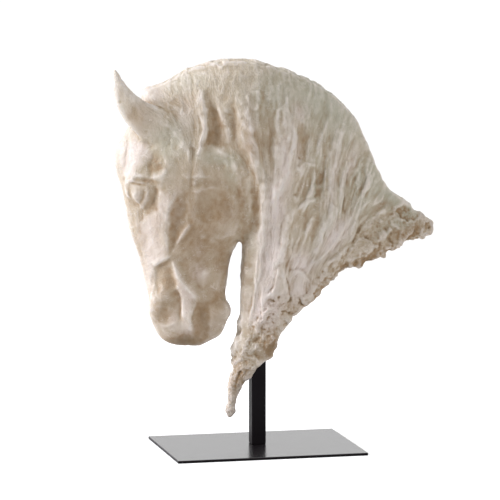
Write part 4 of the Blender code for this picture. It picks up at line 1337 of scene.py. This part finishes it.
class HORSEHEAD_OT_carve(bpy.types.Operator):
    """Carves the resin head over a copy of its solid"""

    bl_idname = "horsehead.carve"
    bl_label = "Carve the head"

    def execute(self, context):
        sizes = context.scene.horsehead_sizes
        head = self.copy_solid(context, sizes)
        surface = Surface(head, sizes.stroke_depth)
        self.carve(surface, sizes)
        self.thin_out(head, surface, sizes)
        head.data.materials.clear()
        head.data.materials.append(resin_material(context.scene.horsehead_finish))
        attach(head, "root")
        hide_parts("horse_head")
        return {"FINISHED"}

    def copy_solid(self, context, sizes):
        """A copy of the solid, merged and given an even grid of small faces."""
        head = bpy.data.objects.new("carved_head", NODES["horse_head"].data.copy())
        context.scene.collection.objects.link(head)
        make_active(head)
        bpy.ops.object.mode_set(mode="EDIT")
        bpy.ops.mesh.select_all(action="SELECT")
        bpy.ops.mesh.remove_doubles(threshold=MERGE_DISTANCE)
        bpy.ops.object.mode_set(mode="OBJECT")
        apply_modifier(head, "REMESH", mode="VOXEL", voxel_size=sizes.grain)
        return head

    def carve(self, surface, sizes):
        surface.soften(SMOOTHING_PASSES, SMOOTHING_SWELL)
        surface.melt(MELTING_PASSES, sizes.melting)
        surface.set_wobble()
        mane = ramp(surface.outline_distance(FACE_OUTLINE), -4, 12)
        broken = break_share(surface)
        hair = HairField().read(surface.points)
        carve_face(surface)
        carve_mane(surface)
        combed = hair_share(surface, mane, broken, hair[1])
        comb_mane(surface, combed, hair, sizes.strand_depth)
        lump_skin(surface, combed)
        crumble(surface, broken)
        crack_and_pit(surface)
        surface.soften(1)
        colour_surface(surface, combed, broken, hair)

    def thin_out(self, head, surface, sizes):
        """Puts the points back in the world, inside the CAD box, and thins the faces."""
        low, high = (np.array(corner) for corner in CAD_BOX)
        places = np.clip(from_drawing(surface.points), low + EDGE_ROOM, high - EDGE_ROOM)
        head.data.vertices.foreach_set("co", places.ravel())
        apply_modifier(head, "DECIMATE", ratio=sizes.kept_faces / (2 * len(head.data.polygons)))
        make_active(head)
        bpy.ops.object.shade_smooth()


class HORSEHEAD_OT_stand(bpy.types.Operator):
    """Finishes the steel post and plate"""

    bl_idname = "horsehead.stand"
    bl_label = "Finish the stand"

    def execute(self, context):
        finish = context.scene.horsehead_finish
        for node, name, polish in (
                ("post", "black post steel", None),
                ("base_plate", "black plate steel", finish.plate_coat)):
            made = steel_material(name, finish.steel, finish.satin, polish)
            obj = NODES[node]
            if not obj.material_slots:
                obj.data.materials.append(made)
            for slot in obj.material_slots:
                slot.material = made
        return {"FINISHED"}


class HORSEHEAD_OT_stage(bpy.types.Operator):
    """Sets up the pale floor, the soft lights and the camera"""

    bl_idname = "horsehead.stage"
    bl_label = "Set the stage"

    def execute(self, context):
        stage = context.scene.horsehead_stage
        self.lay_floor(context)
        self.light_surround(context, stage)
        self.hang_lights(context, stage)
        self.place_camera(context, stage)
        return {"FINISHED"}

    def lay_floor(self, context):
        deselect_all()
        bpy.ops.mesh.primitive_plane_add(size=1.0)
        floor = context.active_object
        floor.name = "floor"
        floor.scale = (FLOOR_SIDE, FLOOR_SIDE, 1.0)
        bpy.ops.object.transform_apply(location=False, rotation=False, scale=True)
        floor.data.materials.append(floor_material())

    def light_surround(self, context, stage):
        """A white surround that the camera and reflections see brighter than it lights."""
        surround = bpy.data.worlds.new("white surround")
        context.scene.world = surround
        surround.use_nodes = True
        tree = surround.node_tree
        background = tree.nodes["Background"]
        background.inputs["Color"].default_value = (1.0, 1.0, 1.0, 1.0)
        strength = seen_mask(tree) * (SEEN_WHITE - stage.surround) + stage.surround
        join(tree, strength, background.inputs["Strength"])
        context.scene.view_settings.view_transform = "Standard"

    def hang_lights(self, context, stage):
        """A soft light from the left and very soft ones from the front and above."""
        for name, strength, softness, colour, come_from in (
                ("window light", stage.window, 26.0, (0.97, 0.98, 1.05), (-1.0, 0.15, 0.45)),
                ("room light", stage.room, 60.0, (1.0, 0.99, 0.98), (0.5, -1.0, 0.35)),
                ("ceiling light", stage.ceiling, 70.0, (1.0, 1.0, 0.97), (0.25, 0.1, 1.0))):
            light = bpy.data.lights.new(name, "SUN")
            light.energy = strength
            light.angle = math.radians(softness)
            light.color = colour
            lamp = bpy.data.objects.new(name, light)
            context.scene.collection.objects.link(lamp)
            lamp.location = Vector(come_from) * 2
            lamp.rotation_euler = Vector(come_from).to_track_quat("Z", "Y").to_euler()

    def place_camera(self, context, stage):
        camera = bpy.data.cameras.new("camera")
        camera.lens = stage.lens
        camera.sensor_width = SENSOR_WIDTH
        holder = bpy.data.objects.new("camera", camera)
        context.scene.collection.objects.link(holder)
        level = math.cos(stage.elevation)
        back = Vector((math.sin(stage.azimuth) * level, -math.cos(stage.azimuth) * level,
                       math.sin(stage.elevation)))
        holder.location = Vector(stage.target) + back * stage.distance
        holder.rotation_euler = back.to_track_quat("Z", "Y").to_euler()
        context.scene.camera = holder


class HORSEHEAD_PT_panel(bpy.types.Panel):
    bl_label = "Horse head"
    bl_idname = "HORSEHEAD_PT_panel"
    bl_space_type = "VIEW_3D"
    bl_region_type = "UI"
    bl_category = "Horse head"

    def draw(self, context):
        scene = context.scene
        for settings, operator in ((scene.horsehead_sizes, HORSEHEAD_OT_carve),
                                   (scene.horsehead_finish, HORSEHEAD_OT_stand),
                                   (scene.horsehead_stage, HORSEHEAD_OT_stage)):
            box = self.layout.box()
            for name in settings.__annotations__:
                box.prop(settings, name)
            box.operator(operator.bl_idname)


SETTINGS = {"horsehead_sizes": HorseHeadSizes, "horsehead_finish": HorseHeadFinish,
            "horsehead_stage": HorseHeadStage}
CLASSES = (*SETTINGS.values(), HORSEHEAD_OT_carve, HORSEHEAD_OT_stand, HORSEHEAD_OT_stage,
           HORSEHEAD_PT_panel)


def register():
    for cls in CLASSES:
        bpy.utils.register_class(cls)
    for name, cls in SETTINGS.items():
        setattr(bpy.types.Scene, name, bpy.props.PointerProperty(type=cls))


def unregister():
    for name in SETTINGS:
        delattr(bpy.types.Scene, name)
    for cls in reversed(CLASSES):
        bpy.utils.unregister_class(cls)


def main():
    register()
    bpy.ops.horsehead.carve()
    bpy.ops.horsehead.stand()
    bpy.ops.horsehead.stage()


if __name__ == "__main__":
    main()
